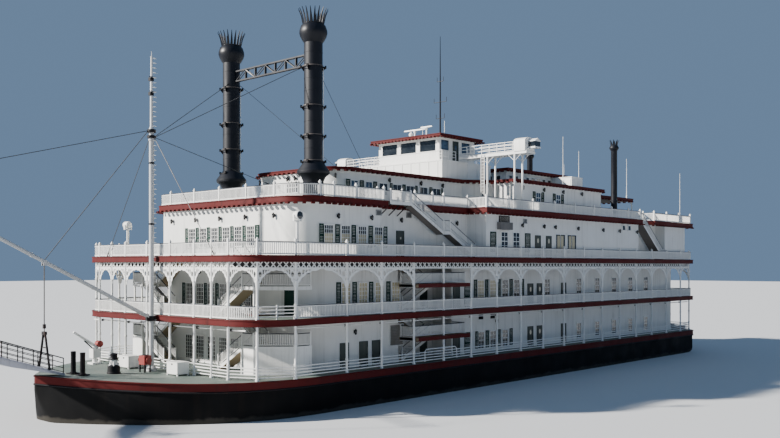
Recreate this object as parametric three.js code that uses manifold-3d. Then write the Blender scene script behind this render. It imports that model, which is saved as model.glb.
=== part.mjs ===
// A sternwheel river boat as a 1:10 model, with a slewing boom, a hoisted landing stage
// and a turning wheel.
// Lengths are metres of the real boat: x towards the bow from amidships, y to port,
// z up from the hull's bottom.
// The meshes are in millimetres of the model.
import * as THREE from "three";
import { mergeVertices } from "three/addons/utils/BufferGeometryUtils.js";
import Module from "manifold-3d";

const wasm = await Module();
wasm.setup();

// Scale and running gaps
const MODEL_MM = 100; // millimetres of model for each metre of the real boat
const GAP = 0.003; // between pieces that touch
const PIVOT_GAP = 0.05; // round a pin or a post that something turns on

// Levels
const DECK_1 = 4.95;
const DECK_2 = 9.55;
const DECK_3 = 14.45;
const DECK_4 = 19.35;
const TEXAS_TOP = 22.75;
const BASE_TOP = 24.85; // walkway round the pilothouse
const WING_TOP = 25.28;
const PILOT_TOP = 27.6;
const DECK_THICK = 0.4;
const ROOF_THICK = 0.25;
const GUARD = 0.75; // height of the guard strake

// Hull
const TRANSOM = -43.3;
const STEM = 43.3;
const SHOULDER = 25.7; // where the bow starts to narrow
const HALF_BEAM = 13.0;
const BOW_POWER = 2.5;
const SHEER_START = 33;
const SHEER_RISE = 0.55;
const BILGE = 0.6;
const STERN_RAKE_START = -34;
const STERN_RAKE_TOP = 2.2;

// Decks and houses
const DECK_FRONT = 32.95;
const DECK_AFT = -42.8;
const DECK_CORNER = 3.6;
const HOUSE_HALF = 10.6;
const HOUSE_FRONT = 26.7;
const HOUSE_AFT = -41.2;
const HOUSE_CORNER = 4.6;
const HOUSE_3_INSET = 0.4; // house 3 inside the edge of deck 4
const RECESS_FRONT = 14.7; // stair recess in the sides of houses 1 and 2
const RECESS_AFT = 7.0;
const RECESS_DEPTH = 2.4;
const COLUMN = 0.2;
const COLUMN_INSET = 0.25;
const RAIL_HEIGHT = 1.05;
const RAIL_THICK = 0.08;

// Stage gear
const MAST_X = 33.35;
const MAST_R = 0.2;
const HUB_Z = 24.63;
const MAST_TOP = 31.35;
const HEEL_Z = 9.28;
const BOOM_TIP = { x: 53.2, z: 19.34 };
const INNER_FALL_X = 42.55;
const LINE_R = 0.035;
const STAGE_IN = { x: 41.35, z: 5.52 }; // top of the walkway at its inner end
const STAGE_LENGTH = 15;
const STAGE_RISE_DEG = 18.5;
const STAGE_HALF = 0.9;

// Wheel
const WHEEL_X = -47.6;
const WHEEL_Z = 4.7;
const WHEEL_R = 3.6;
const WHEEL_HALF = 6.0;
const SHAFT_R = 0.28;
const BUCKETS = 12;
const BEAM_Y = 6.9;
const BEAM_WIDE = 0.8;

// Rudders
const RUDDER_X = -41.5;
const RUDDER_Y = 4.5;
const STOCK_R = 0.14;

const WHITE = { color: 0xe9e7df, roughness: 0.6, metalness: 0 };
const MAROON = { color: 0x5c1e1c, roughness: 0.6, metalness: 0.1 };
const BLACK = { color: 0x17171a, roughness: 0.5, metalness: 0.2 };
const DECK_GREY = { color: 0x77796f, roughness: 0.8, metalness: 0 };
const RED = { color: 0xa32a22, roughness: 0.5, metalness: 0.1 };
const STEEL = { color: 0x6c7074, roughness: 0.5, metalness: 0.8 };

// A closed three.js geometry as a manifold solid
function solid(geometry) {
  geometry.deleteAttribute("normal");
  geometry.deleteAttribute("uv");
  const merged = mergeVertices(geometry, 1e-5);
  return new wasm.Manifold(
    new wasm.Mesh({
      numProp: 3,
      vertProperties: merged.attributes.position.array,
      triVerts: new Uint32Array(merged.index.array),
    }),
  );
}

const join = (pieces) => pieces.reduce((whole, piece) => whole.add(piece));
const cut = (whole, pieces) => pieces.reduce((rest, piece) => rest.subtract(piece), whole);
const mirrorY = (piece) => piece.mirror([0, 1, 0]);

// A box from its lowest to its highest corner
function box(x0, x1, y0, y1, z0, z1) {
  const geometry = new THREE.BoxGeometry(x1 - x0, y1 - y0, z1 - z0);
  geometry.translate((x0 + x1) / 2, (y0 + y1) / 2, (z0 + z1) / 2);
  return solid(geometry);
}

// A square bar or round rod between two points
function rod(a, b, radius, sides = 6) {
  const from = new THREE.Vector3(...a);
  const to = new THREE.Vector3(...b);
  const along = to.clone().sub(from);
  const geometry = new THREE.CylinderGeometry(radius, radius, along.length(), sides);
  const turn = new THREE.Quaternion().setFromUnitVectors(
    new THREE.Vector3(0, 1, 0),
    along.clone().normalize(),
  );
  geometry.applyQuaternion(turn);
  geometry.translate(...from.add(to).multiplyScalar(0.5).toArray());
  return solid(geometry);
}

// A flat plan outline carried from z0 up to z1
function plate(shape, z0, z1, segments = 5) {
  const geometry = new THREE.ExtrudeGeometry(shape, {
    depth: z1 - z0,
    bevelEnabled: false,
    curveSegments: segments,
  });
  geometry.translate(0, 0, z0);
  return solid(geometry);
}

// A side outline in x and z carried from y0 to y1
function sidePlate(points, y0, y1) {
  const shape = new THREE.Shape(points.map(([x, z]) => new THREE.Vector2(x, z)));
  const geometry = new THREE.ExtrudeGeometry(shape, { depth: y1 - y0, bevelEnabled: false });
  geometry.rotateX(Math.PI / 2);
  geometry.translate(0, y1, 0);
  return solid(geometry);
}

// A section outline in y and z carried from x0 to x1
function sectionPlate(points, x0, x1) {
  const shape = new THREE.Shape(points.map(([y, z]) => new THREE.Vector2(y, z)));
  const geometry = new THREE.ExtrudeGeometry(shape, { depth: x1 - x0, bevelEnabled: false });
  geometry.rotateX(Math.PI / 2);
  geometry.rotateZ(Math.PI / 2);
  geometry.translate(x0, 0, 0);
  return solid(geometry);
}

// A round piece on an upright axis: profile rows are [radius, z] and close on the axis
function turned(profile, x, y, sides) {
  const points = profile.map(([radius, z]) => new THREE.Vector2(radius, z));
  const geometry = new THREE.LatheGeometry(points, sides);
  geometry.rotateX(Math.PI / 2);
  geometry.translate(x, y, 0);
  return solid(geometry);
}

// Plan of a deck or house: front edge, half width, aft edge and front corner radius
function boatPlan(front, half, aft, corner, aftCorner = 0.6) {
  const shape = new THREE.Shape();
  shape.moveTo(aft + aftCorner, -half);
  shape.lineTo(front - corner, -half);
  shape.absarc(front - corner, -half + corner, corner, -Math.PI / 2, 0, false);
  shape.lineTo(front, half - corner);
  shape.absarc(front - corner, half - corner, corner, 0, Math.PI / 2, false);
  shape.lineTo(aft + aftCorner, half);
  shape.lineTo(aft, half - aftCorner);
  shape.lineTo(aft, -half + aftCorner);
  shape.closePath();
  return shape;
}

// Symmetric plan from port-side rows [x, half width] that run from the bow aft
function mirroredPlan(rows) {
  const port = rows.map(([x, half]) => new THREE.Vector2(x, half));
  const starboard = rows.map(([x, half]) => new THREE.Vector2(x, -half)).reverse();
  return new THREE.Shape([...starboard, ...port]);
}

const SHEER_STATIONS = [SHEER_START, 36, 39, 41.5, 43.6];
const sheer = (x) => SHEER_RISE * (Math.max(0, x - SHEER_START) / (STEM - SHEER_START)) ** 2;

// Top of the foredeck at x, which runs straight from one sheer station to the next
function deckZ(x) {
  const next = SHEER_STATIONS.findIndex((station) => station >= x);
  if (next < 1) return DECK_1 + GAP;
  const [a, b] = [SHEER_STATIONS[next - 1], SHEER_STATIONS[next]];
  return DECK_1 + GAP + sheer(a) + ((sheer(b) - sheer(a)) * (x - a)) / (b - a);
}

// Half breadth of the hull from the shoulder to the stem
function hullHalf(x, half) {
  const share = Math.max(0, x - SHOULDER) / (STEM - SHOULDER);
  return half * (1 - share ** BOW_POWER);
}

const BOW_STATIONS = [25.7, 29, 32, 35, 37.5, 39.5, 41, 42.1, 42.9, 43.28];

// Rows [x, z] of the keel line, which curves up into a nearly upright stem
const STEM_LINE = [
  [39, 0],
  [41, 0.22],
  [42, 0.93],
  [42.6, 1.99],
  [43, 3.18],
];

function hullPlan(half) {
  const bow = BOW_STATIONS.map((x) => [x, Math.max(0.12, hullHalf(x, half))]).reverse();
  return mirroredPlan([...bow, [TRANSOM + 1, half], [TRANSOM, half - 0.8]]);
}

// The band of height high under the sheer line, as a side outline
function sheerBand(bottom, top) {
  const upper = SHEER_STATIONS.map((x) => [x, top + sheer(x)]);
  const lower = SHEER_STATIONS.map((x) => [x, bottom + sheer(x)]).reverse();
  return [[TRANSOM - 1, top], ...upper, ...lower, [TRANSOM - 1, bottom]];
}

function hull() {
  const top = DECK_1 - GUARD - GAP;
  const profile = [
    [TRANSOM - 1, STERN_RAKE_TOP + 0.24],
    [STERN_RAKE_START, 0],
    ...STEM_LINE,
    [43.5, top + sheer(STEM)],
    ...SHEER_STATIONS.slice(0, -1)
      .map((x) => [x, top + sheer(x)])
      .reverse(),
    [TRANSOM - 1, top],
  ];
  const half = HALF_BEAM - 0.1;
  const section = [
    [-half + BILGE, 0],
    [half - BILGE, 0],
    [half, BILGE],
    [half, 6],
    [-half, 6],
    [-half, BILGE],
  ];
  const body = plate(hullPlan(half), 0, 6)
    .intersect(sidePlate(profile, -14, 14))
    .intersect(sectionPlate(section, -50, 50));
  const holes = [-1, 1].map((side) =>
    rod([RUDDER_X, side * RUDDER_Y, 0], [RUDDER_X, side * RUDDER_Y, 3], STOCK_R + PIVOT_GAP, 8),
  );
  return cut(body, holes);
}

function mainDeck() {
  const band = sidePlate(sheerBand(DECK_1 - GUARD, DECK_1), -14, 14);
  return plate(hullPlan(HALF_BEAM), 3, 7).intersect(band);
}

const deckShape = () => boatPlan(DECK_FRONT, HALF_BEAM, DECK_AFT, DECK_CORNER);

// Openings over the stairs, both sides: [x0, x1, y0, y1]
const FRONT_WELL = [26.85, 28.25, 4.15, 7.3];
const SIDE_WELL = [10.0, 14.25, 8.65, 9.6];

function wells(z0, z1) {
  return [FRONT_WELL, SIDE_WELL].flatMap(([x0, x1, y0, y1]) => {
    const port = box(x0, x1, y0, y1, z0, z1);
    return [port, mirrorY(port)];
  });
}

function deck(level) {
  const bottom = level - DECK_THICK;
  const slab = plate(deckShape(), bottom, level);
  const mastHole = rod([MAST_X, 0, bottom - 1], [MAST_X, 0, level + 1], MAST_R + 0.1, 10);
  return cut(slab, [...wells(bottom - 1, level + 1), mastHole]);
}

// Deck 4 is wide forward, narrow at the waist where the outside stairs go down, and widest aft
const DECK_4_FRONT = 26.75;
const FORE_HALF = 11.2;
const STEP_X = 16.7;
const WAIST_HALF = 10.4;
const FLARE_X = 4.15; // where deck 4 steps out to its widest
const AFT_HALF = 12.7;
const NOTCH_FRONT = -28.3; // where the aft stair goes down through deck 4's edge
const NOTCH_AFT = -31.6;
const NOTCH_HALF = 11.2;
const AFT_STAIR_FOOT = -34.2;

// Rows [x, half width] of deck 4 running aft; its plan also carries house 3
function deck4Rows(inset, aft = DECK_AFT + inset) {
  const corner = 3;
  const front = DECK_4_FRONT - inset;
  const half = FORE_HALF - inset;
  const arc = [0, 22.5, 45, 67.5, 90].map((deg) => {
    const turn = (deg * Math.PI) / 180;
    return [front - corner + corner * Math.cos(turn), half - corner + corner * Math.sin(turn)];
  });
  return [
    ...arc,
    [STEP_X + inset, half],
    [STEP_X + inset, WAIST_HALF - inset],
    [FLARE_X - inset, WAIST_HALF - inset],
    [FLARE_X - inset, AFT_HALF - inset],
    [NOTCH_FRONT + inset, AFT_HALF - inset],
    [NOTCH_FRONT + inset, NOTCH_HALF - inset],
    [NOTCH_AFT - inset, NOTCH_HALF - inset],
    [NOTCH_AFT - inset, AFT_HALF - inset],
    [aft, AFT_HALF - inset],
  ];
}

// Deck 4 with the two aft flights that hang from its notches
function deck4() {
  const slab = plate(mirroredPlan(deck4Rows(0)), DECK_4 - DECK_THICK, DECK_4);
  const foot = [AFT_STAIR_FOOT, DECK_3 + 0.36 + GAP];
  const port = flight([NOTCH_FRONT + 0.1, DECK_4], foot, NOTCH_HALF + 0.1, AFT_HALF - 0.1);
  return join([slab, ...port, ...port.map(mirrorY)]);
}

function house(floor, ceiling) {
  const shape = boatPlan(HOUSE_FRONT, HOUSE_HALF, HOUSE_AFT, HOUSE_CORNER);
  const block = plate(shape, floor + GAP, ceiling - DECK_THICK - GAP, 6);
  const recess = box(
    RECESS_AFT,
    RECESS_FRONT,
    HOUSE_HALF - RECESS_DEPTH,
    HOUSE_HALF + 1,
    floor - 1,
    ceiling + 1,
  );
  return cut(block, [recess, mirrorY(recess)]);
}

function house3() {
  const rows = deck4Rows(HOUSE_3_INSET, HOUSE_AFT).filter(([x]) => x > NOTCH_FRONT || x < -40);
  const block = plate(mirroredPlan(rows), DECK_3 + GAP, DECK_4 - DECK_THICK - GAP);
  const recess = box(AFT_STAIR_FOOT - 1, NOTCH_FRONT + 0.4, NOTCH_HALF - 0.2, 14, DECK_3, DECK_4);
  // The side stairs of deck 2 come up inside
  const [x0, x1, y0, y1] = SIDE_WELL;
  const stairHead = box(x0 - 0.2, x1 + 0.15, y0 - 0.15, y1 + 0.15, DECK_3, DECK_3 + 1.1);
  return cut(block, [recess, mirrorY(recess), stairHead, mirrorY(stairHead)]);
}

const TEXAS_ROWS = [
  [18, 3.9],
  [17.6, 5.0],
  [16.7, 5.9],
  [-0.65, 5.9],
  [-3.3, 8.0],
  [-3.3, 10.8],
  [-21.3, 10.8],
];

function texasPlan(overhang) {
  const last = TEXAS_ROWS.length - 1;
  const rows = TEXAS_ROWS.map(([x, half], i) => {
    return [i === last ? x - overhang : x + overhang, half + overhang];
  });
  return mirroredPlan(rows);
}

function texasHouse() {
  return plate(texasPlan(0), DECK_4 + GAP, TEXAS_TOP - ROOF_THICK - GAP);
}

// The texas roof with the skylight house and the air unit that stand on it
function texasRoof() {
  return join([
    plate(texasPlan(0.35), TEXAS_TOP - ROOF_THICK, TEXAS_TOP),
    box(-21.2, -9.2, -5.6, 5.6, TEXAS_TOP - 0.1, TEXAS_TOP + 1.75),
    box(-21.6, -8.8, -6.1, 6.1, TEXAS_TOP + 1.7, TEXAS_TOP + 2.0),
    box(-21, -18.5, 5.5, 8.5, TEXAS_TOP - 0.1, TEXAS_TOP + 1.55),
  ]);
}

const PILOT = { front: 1.3, aft: -4.8, half: 4.4, wall: 0.16 };
const BASE = { front: 1.6, aft: -7.0, half: 5.0 };

function pilothouseBase() {
  return box(BASE.aft, BASE.front, -BASE.half, BASE.half, TEXAS_TOP + GAP, BASE_TOP);
}

// The pilothouse: four walls on a thin floor, with its windows cut through
function pilothouse() {
  const { front, aft, half, wall } = PILOT;
  const floor = BASE_TOP + GAP;
  const top = PILOT_TOP - 0.3 - GAP;
  const sill = 25.85;
  const head = 27.05;
  const room = box(aft + wall, front - wall, -half + wall, half - wall, floor + 0.1, top + 1);
  const openings = [];
  const bays = 3;
  const margin = 0.25;
  const pitch = (2 * (half - margin)) / bays;
  const sidePitch = (front - aft - 2 * margin) / bays;
  for (let i = 0; i < bays; i += 1) {
    const y0 = -half + margin + (i + 0.1) * pitch;
    const x0 = aft + margin + (i + 0.14) * sidePitch;
    openings.push(box(aft - 1, front + 1, y0, y0 + pitch * 0.8, sill, head));
    openings.push(box(x0, x0 + sidePitch * 0.72, -half - 1, half + 1, sill, head));
  }
  return cut(box(aft, front, -half, half, floor, top), [room, ...openings]);
}

function pilothouseRoof() {
  const { front, aft, half } = PILOT;
  const eaves = 0.7;
  return box(
    aft - eaves,
    front + eaves,
    -half - eaves,
    half + eaves,
    PILOT_TOP - 0.3,
    PILOT_TOP,
  );
}

// Port bridge wing: platform, rails, posts, control cab and lamp box
function bridgeWing() {
  const x0 = -2.75;
  const x1 = -1.15;
  const inner = BASE.half + 0.02;
  const outer = 13.7;
  const bottom = WING_TOP - 0.25;
  const pieces = [box(x0, x1, inner, outer, bottom, WING_TOP)];
  for (const x of [x0 + 0.1, x1 - 0.1]) {
    pieces.push(box(x - 0.1, x + 0.1, 12.12, 12.32, DECK_4 + GAP, bottom + 0.05));
    pieces.push(box(x - 0.1, x + 0.1, 8.7, 8.9, DECK_4 + GAP, bottom + 0.05));
    pieces.push(box(x - 0.04, x + 0.04, inner, 12.2, WING_TOP - 0.05, WING_TOP + RAIL_HEIGHT));
  }
  pieces.push(box(x0 - 0.1, x1 + 0.1, 12.1, 13.6, WING_TOP - 0.1, WING_TOP + 1.15));
  pieces.push(box(x0 + 0.15, x1 - 0.4, 13.5, 14.5, WING_TOP + 0.25, WING_TOP + 1.3));
  return join(pieces);
}

// Columns along a deck edge: the front row, the corner and then the side
const FRONT_COLUMN_YS = [1.69, 5.08, 7.35, 9.47];
const CORNER_COLUMN = [31.75, 11.75];
const SIDE_COLUMN_FIRST = [28.82, 23.3];
const SIDE_COLUMN_START = 19.16;
const SIDE_COLUMN_PITCH = 4.145;

function columnPlaces() {
  const front = DECK_FRONT - COLUMN_INSET;
  const side = HALF_BEAM - COLUMN_INSET;
  const places = FRONT_COLUMN_YS.map((y) => [front, y]);
  places.push(CORNER_COLUMN);
  SIDE_COLUMN_FIRST.forEach((x) => places.push([x, side]));
  for (let x = SIDE_COLUMN_START; x > DECK_AFT + 1; x -= SIDE_COLUMN_PITCH) {
    places.push([x, side]);
  }
  [3.5, 8.2, 12.3].forEach((y) => places.push([DECK_AFT + COLUMN_INSET, y]));
  return places;
}

// The port half of a band that follows a plan, from one inset to another
function halfBand(planAt, insetOut, insetIn, z0, z1) {
  const outer = plate(planAt(insetOut), z0, z1);
  const inner = plate(planAt(insetIn), z0 - 1, z1 + 1);
  const port = box(-60, 60, GAP / 2, 20, z0 - 2, z1 + 2);
  return outer.subtract(inner).intersect(port);
}

function edgePlan(inset) {
  return boatPlan(
    DECK_FRONT - inset,
    HALF_BEAM - inset,
    DECK_AFT + inset,
    DECK_CORNER - inset,
  );
}

const everySecond = (_, i) => i % 2 === 0;
const edge4Plan = (inset) => mirroredPlan(deck4Rows(inset));

// Port half of a rail that follows a deck's edge, as one thin panel
function railPanel(planAt, floor) {
  const out = COLUMN_INSET - RAIL_THICK / 2;
  return halfBand(planAt, out, out + RAIL_THICK, floor + 0.12, floor + RAIL_HEIGHT);
}

// Port half of the gallery over one deck: its columns and rail
function gallery(floor, ceiling) {
  const top = ceiling - DECK_THICK - GAP;
  const half = COLUMN / 2;
  const columns = columnPlaces().map(([x, y]) =>
    box(x - half, x + half, y - half, y + half, floor + GAP, top),
  );
  return join([...columns, railPanel(edgePlan, floor)]);
}

// Port half of an open deck's rail with some of its posts
function openRail(places, planAt, floor) {
  const half = 0.09;
  const posts = places.map(([x, y]) =>
    box(x - half, x + half, y - half, y + half, floor + GAP, floor + RAIL_HEIGHT + 0.15),
  );
  return join([...posts, railPanel(planAt, floor)]);
}

function rail4Places() {
  const inset = COLUMN_INSET;
  const places = [
    [DECK_4_FRONT - inset, 3.75],
    [DECK_4_FRONT - inset, 7.5],
    [20.9, FORE_HALF - inset],
    [STEP_X + inset, FORE_HALF - inset],
    [STEP_X + inset, WAIST_HALF - inset],
    [9.5, WAIST_HALF - inset],
    [FLARE_X - inset, WAIST_HALF - inset],
    [FLARE_X - inset, AFT_HALF - inset],
  ];
  for (let x = -4.5; x > NOTCH_FRONT; x -= 2 * SIDE_COLUMN_PITCH) {
    places.push([x, AFT_HALF - inset]);
  }
  places.push([-37, AFT_HALF - inset]);
  places.push([DECK_AFT + inset, 8.2]);
  return places;
}

// An inclined flight in x and z between y0 and y1, with a thin parapet for each hand rail
function flight([x0, z0], [x1, z1], y0, y1) {
  const slope = (below, above) => [
    [x0, z0 + above],
    [x1, z1 + above],
    [x1, z1 - below],
    [x0, z0 - below],
  ];
  return [
    sidePlate(slope(0.35, 0), y0, y1),
    sidePlate(slope(0.2, 0.95), y0, y0 + RAIL_THICK),
    sidePlate(slope(0.2, 0.95), y1 - RAIL_THICK, y1),
  ];
}

// Front stairs: the lower flight rises outboard ahead of the upper one, which rises back inboard
const LOWER_FLIGHT = [28.3, 29.6];
const UPPER_FLIGHT = [26.95, 28.15];
const FLIGHT_IN = 4.0;
const FLIGHT_OUT = 7.2;

// A flight like the side ones, turned to run along y
function crossFlight([y0, z0], [y1, z1], [x0, x1]) {
  return flight([y0, z0], [y1, z1], -x1, -x0).map((piece) => piece.rotate([0, 0, 90]));
}

// Outline of the corner landing, chamfered to face the corner of the deck
const LANDING_ROWS = [
  [26.95, FLIGHT_OUT],
  [29.75, FLIGHT_OUT],
  [29.75, 8.8],
  [27.4, 11.3],
  [25.8, 11.3],
  [25.8, 9.5],
];

// Port front stair of one deck; on deck 1 its landing stands on a closed base
function frontStairs(floor, ceiling, closedBase) {
  const middle = (floor + ceiling) / 2;
  const base = floor + 0.36 + GAP;
  const landing = new THREE.Shape(LANDING_ROWS.map(([x, y]) => new THREE.Vector2(x, y)));
  const under = closedBase ? floor + GAP : middle - 0.35;
  return join([
    plate(landing, under, middle),
    ...crossFlight([FLIGHT_IN, base], [FLIGHT_OUT + 0.1, middle], LOWER_FLIGHT),
    ...crossFlight([FLIGHT_IN + 0.2, ceiling - 0.1], [FLIGHT_OUT + 0.1, middle], UPPER_FLIGHT),
    railPath(LANDING_RAIL, middle),
  ]);
}

const LANDING_RAIL = [
  [29.7, 7.3],
  [29.7, 8.75],
  [27.38, 11.25],
  [25.9, 11.25],
];

// A thin panel that follows a path in plan at rail height over a floor
function railPath(path, floor) {
  const panels = path.slice(1).map(([x1, y1], i) => {
    const [x0, y0] = path[i];
    const length = Math.hypot(x1 - x0, y1 - y0) + RAIL_THICK / 2;
    const turn = (Math.atan2(y1 - y0, x1 - x0) * 180) / Math.PI;
    const panel = box(-RAIL_THICK / 2, length, -RAIL_THICK / 2, RAIL_THICK / 2, -0.1, RAIL_HEIGHT);
    return panel.rotate([0, 0, turn]).translate([x0, y0, floor]);
  });
  return join(panels);
}

// Port midship stair: an outside landing over the walkway, and two flights in the house's recess
function sideStairs(floor, ceiling) {
  const middle = (floor + ceiling) / 2;
  const base = floor + 0.36 + GAP;
  const pieces = [
    box(RECESS_AFT + 0.1, RECESS_FRONT - 0.1, 10.65, 12.95, middle - 0.3, middle),
    box(RECESS_AFT + 0.1, 10.1, 8.3, 10.8, middle - 0.3, middle),
    ...flight([14.1, base], [10.0, middle], 9.7, 10.55),
    ...flight([10.0, middle], [14.1, ceiling - 0.1], 8.7, 9.55),
  ];
  const panelTop = middle + RAIL_HEIGHT;
  pieces.push(box(RECESS_AFT + 0.2, RECESS_FRONT - 0.2, 12.3, 12.38, middle - 0.1, panelTop));
  const notches = columnPlaces()
    .filter(([x, y]) => y > HOUSE_HALF && x < RECESS_FRONT && x > RECESS_AFT)
    .map(([x, y]) => box(x - 0.12, x + 0.12, y - 0.12, y + 1, middle - 1, middle + 2));
  return cut(join(pieces), notches);
}

// Port outside stair from deck 4 down aft to deck 3, with a landing half way
function deck4Stairs() {
  const y0 = 10.5;
  const y1 = 11.4;
  const middle = (DECK_3 + DECK_4) / 2;
  const base = DECK_3 + 0.36 + GAP;
  return join([
    box(13.7, STEP_X - 0.1, y0, y1, DECK_4 - 0.3, DECK_4),
    ...flight([13.8, DECK_4], [9.2, middle], y0, y1),
    box(8.1, 9.3, y0, y1, middle - 0.3, middle),
    ...flight([8.2, middle], [4.3, base], y0, y1),
  ]);
}

const STACK = { x: 20.7, y: 5.9, r: 0.825 };

// Rows [radius, z] of a main stack, from its foot to the flared crown
function mainStack() {
  const { x, y, r } = STACK;
  const foot = DECK_4 + GAP;
  return turned(
    [
      [0, foot],
      [0.95, foot],
      [0.92, 21.1],
      [1.1, 21.5],
      [1.42, 21.75],
      [1.45, 22.0],
      [0.97, 22.7],
      [r, 22.85],
      [r, 33.35],
      [1.0, 33.6],
      [1.25, 34.2],
      [1.1, 34.85],
      [0.95, 35.0],
      [1.38, 36.4],
      [1.28, 36.4],
      [0.8, 35.05],
      [0, 35.05],
    ],
    x,
    y,
    16,
  );
}

// The truss between the stacks: two narrow planes of chords, posts and slanting braces
function stackTruss() {
  const plane = 0.12;
  const reach = STACK.y - STACK.r - GAP;
  const low = 31.5;
  const high = 32.45;
  const bays = 7;
  const pitch = (2 * reach) / bays;
  const pieces = [];
  for (const x of [STACK.x - plane, STACK.x + plane]) {
    for (const z of [low, high]) {
      pieces.push(box(x - 0.06, x + 0.06, -reach, reach, z - 0.06, z + 0.06));
    }
    for (let i = 0; i < bays; i += 1) {
      const a = -reach + i * pitch;
      const up = i % 2 === 0;
      pieces.push(rod([x, a, up ? low : high], [x, a + pitch, up ? high : low], 0.05, 4));
    }
  }
  const { x } = STACK;
  for (let i = 0; i <= bays; i += 1) {
    const y = Math.max(-reach + 0.05, Math.min(reach - 0.05, -reach + i * pitch));
    pieces.push(box(x - plane, x + plane, y - 0.05, y + 0.05, low - 0.04, high + 0.04));
  }
  return join(pieces);
}

function aftStack() {
  const foot = DECK_4 + GAP;
  return turned(
    [
      [0, foot],
      [0.6, foot],
      [0.6, foot + 0.8],
      [0.43, foot + 1.0],
      [0.43, 28.9],
      [0.62, 29.2],
      [0.5, 29.5],
      [0.68, 30.25],
      [0, 30.25],
    ],
    -32.3,
    6.6,
    12,
  );
}

function stageMast() {
  const foot = deckZ(MAST_X + 0.5);
  return join([
    rod([MAST_X, 0, foot], [MAST_X, 0, HUB_Z + 0.5], MAST_R, 10),
    rod([MAST_X, 0, HUB_Z], [MAST_X, 0, MAST_TOP], MAST_R * 0.58, 10),
    rod([MAST_X, 0, foot], [MAST_X, 0, foot + 0.3], 0.45, 10),
  ]);
}

const tube = (z0, z1, outer, inner) =>
  rod([MAST_X, 0, z0], [MAST_X, 0, z1], outer, 10).subtract(
    rod([MAST_X, 0, z0 - 1], [MAST_X, 0, z1 + 1], inner, 10),
  );

// Fixed stays from the mast's hub, and their collar
function mastStays() {
  const z = HUB_Z - 0.35;
  const collarR = MAST_R + 0.16;
  const pieces = [tube(z - 0.12, z + 0.12, collarR, MAST_R + 0.01)];
  const ends = [
    [STACK.x + 0.75, STACK.y - 0.6, 31.2],
    [STACK.x + 0.75, -STACK.y + 0.6, 31.2],
    [DECK_FRONT - 0.1, 7.9, DECK_3 + GAP + 0.04],
    [DECK_FRONT - 0.1, -7.9, DECK_3 + GAP + 0.04],
    [18.04, -3.5, 21.65],
  ];
  for (const [x, y, height] of ends) {
    const away = new THREE.Vector2(x - MAST_X, y).normalize().multiplyScalar(MAST_R + 0.1);
    pieces.push(rod([MAST_X + away.x, away.y, z], [x, y, height], LINE_R, 5));
  }
  return join(pieces);
}

// The slewing boom with its heel collar and the topping lift to the ring at the hub
function boom() {
  const heelR = MAST_R + 0.13;
  const bore = MAST_R + 0.03;
  const heel = MAST_X + bore + 0.08;
  const inner = { x: INNER_FALL_X, z: boomZ(INNER_FALL_X) };
  return join([
    tube(HEEL_Z - 0.2, HEEL_Z + 0.2, heelR, bore),
    box(MAST_X + heelR - 0.07, heel + 0.2, -0.12, 0.12, HEEL_Z - 0.18, HEEL_Z + 0.18),
    tube(HUB_Z, HUB_Z + 0.25, MAST_R + 0.16, bore),
    rod([heel, 0, boomZ(heel)], [BOOM_TIP.x, 0, BOOM_TIP.z], 0.15, 8),
    rod([MAST_X + bore + 0.06, 0, HUB_Z + 0.12], [BOOM_TIP.x - 0.1, 0, BOOM_TIP.z], LINE_R, 5),
    rod([MAST_X + bore + 0.06, 0, HUB_Z + 0.12], [inner.x, 0, inner.z], LINE_R, 5),
    box(inner.x - 0.15, inner.x + 0.15, -0.2, 0.2, inner.z - 0.3, inner.z + 0.2),
    box(BOOM_TIP.x - 0.2, BOOM_TIP.x + 0.15, -0.2, 0.2, BOOM_TIP.z - 0.3, BOOM_TIP.z + 0.1),
  ]);
}

const boomZ = (x) => HEEL_Z + ((x - MAST_X) * (BOOM_TIP.z - HEEL_Z)) / (BOOM_TIP.x - MAST_X);
const stageZ = (x) => STAGE_IN.z + (x - STAGE_IN.x) * Math.tan((STAGE_RISE_DEG * Math.PI) / 180);
const A_FRAME_TOP = 8.6;
const STAGE_RAIL = 1.14;
const SLING_X = BOOM_TIP.x - 0.02; // where the outer fall meets the stage
const SLING_Z = stageZ(SLING_X) + STAGE_RAIL + 0.1;

// One fall from under the boom to the stage
function fall(x, top, bottom) {
  return join([
    rod([x, 0, bottom], [x, 0, top], LINE_R, 6),
    box(x - 0.09, x + 0.09, -0.07, 0.07, bottom, bottom + 0.35),
  ]);
}

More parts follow.
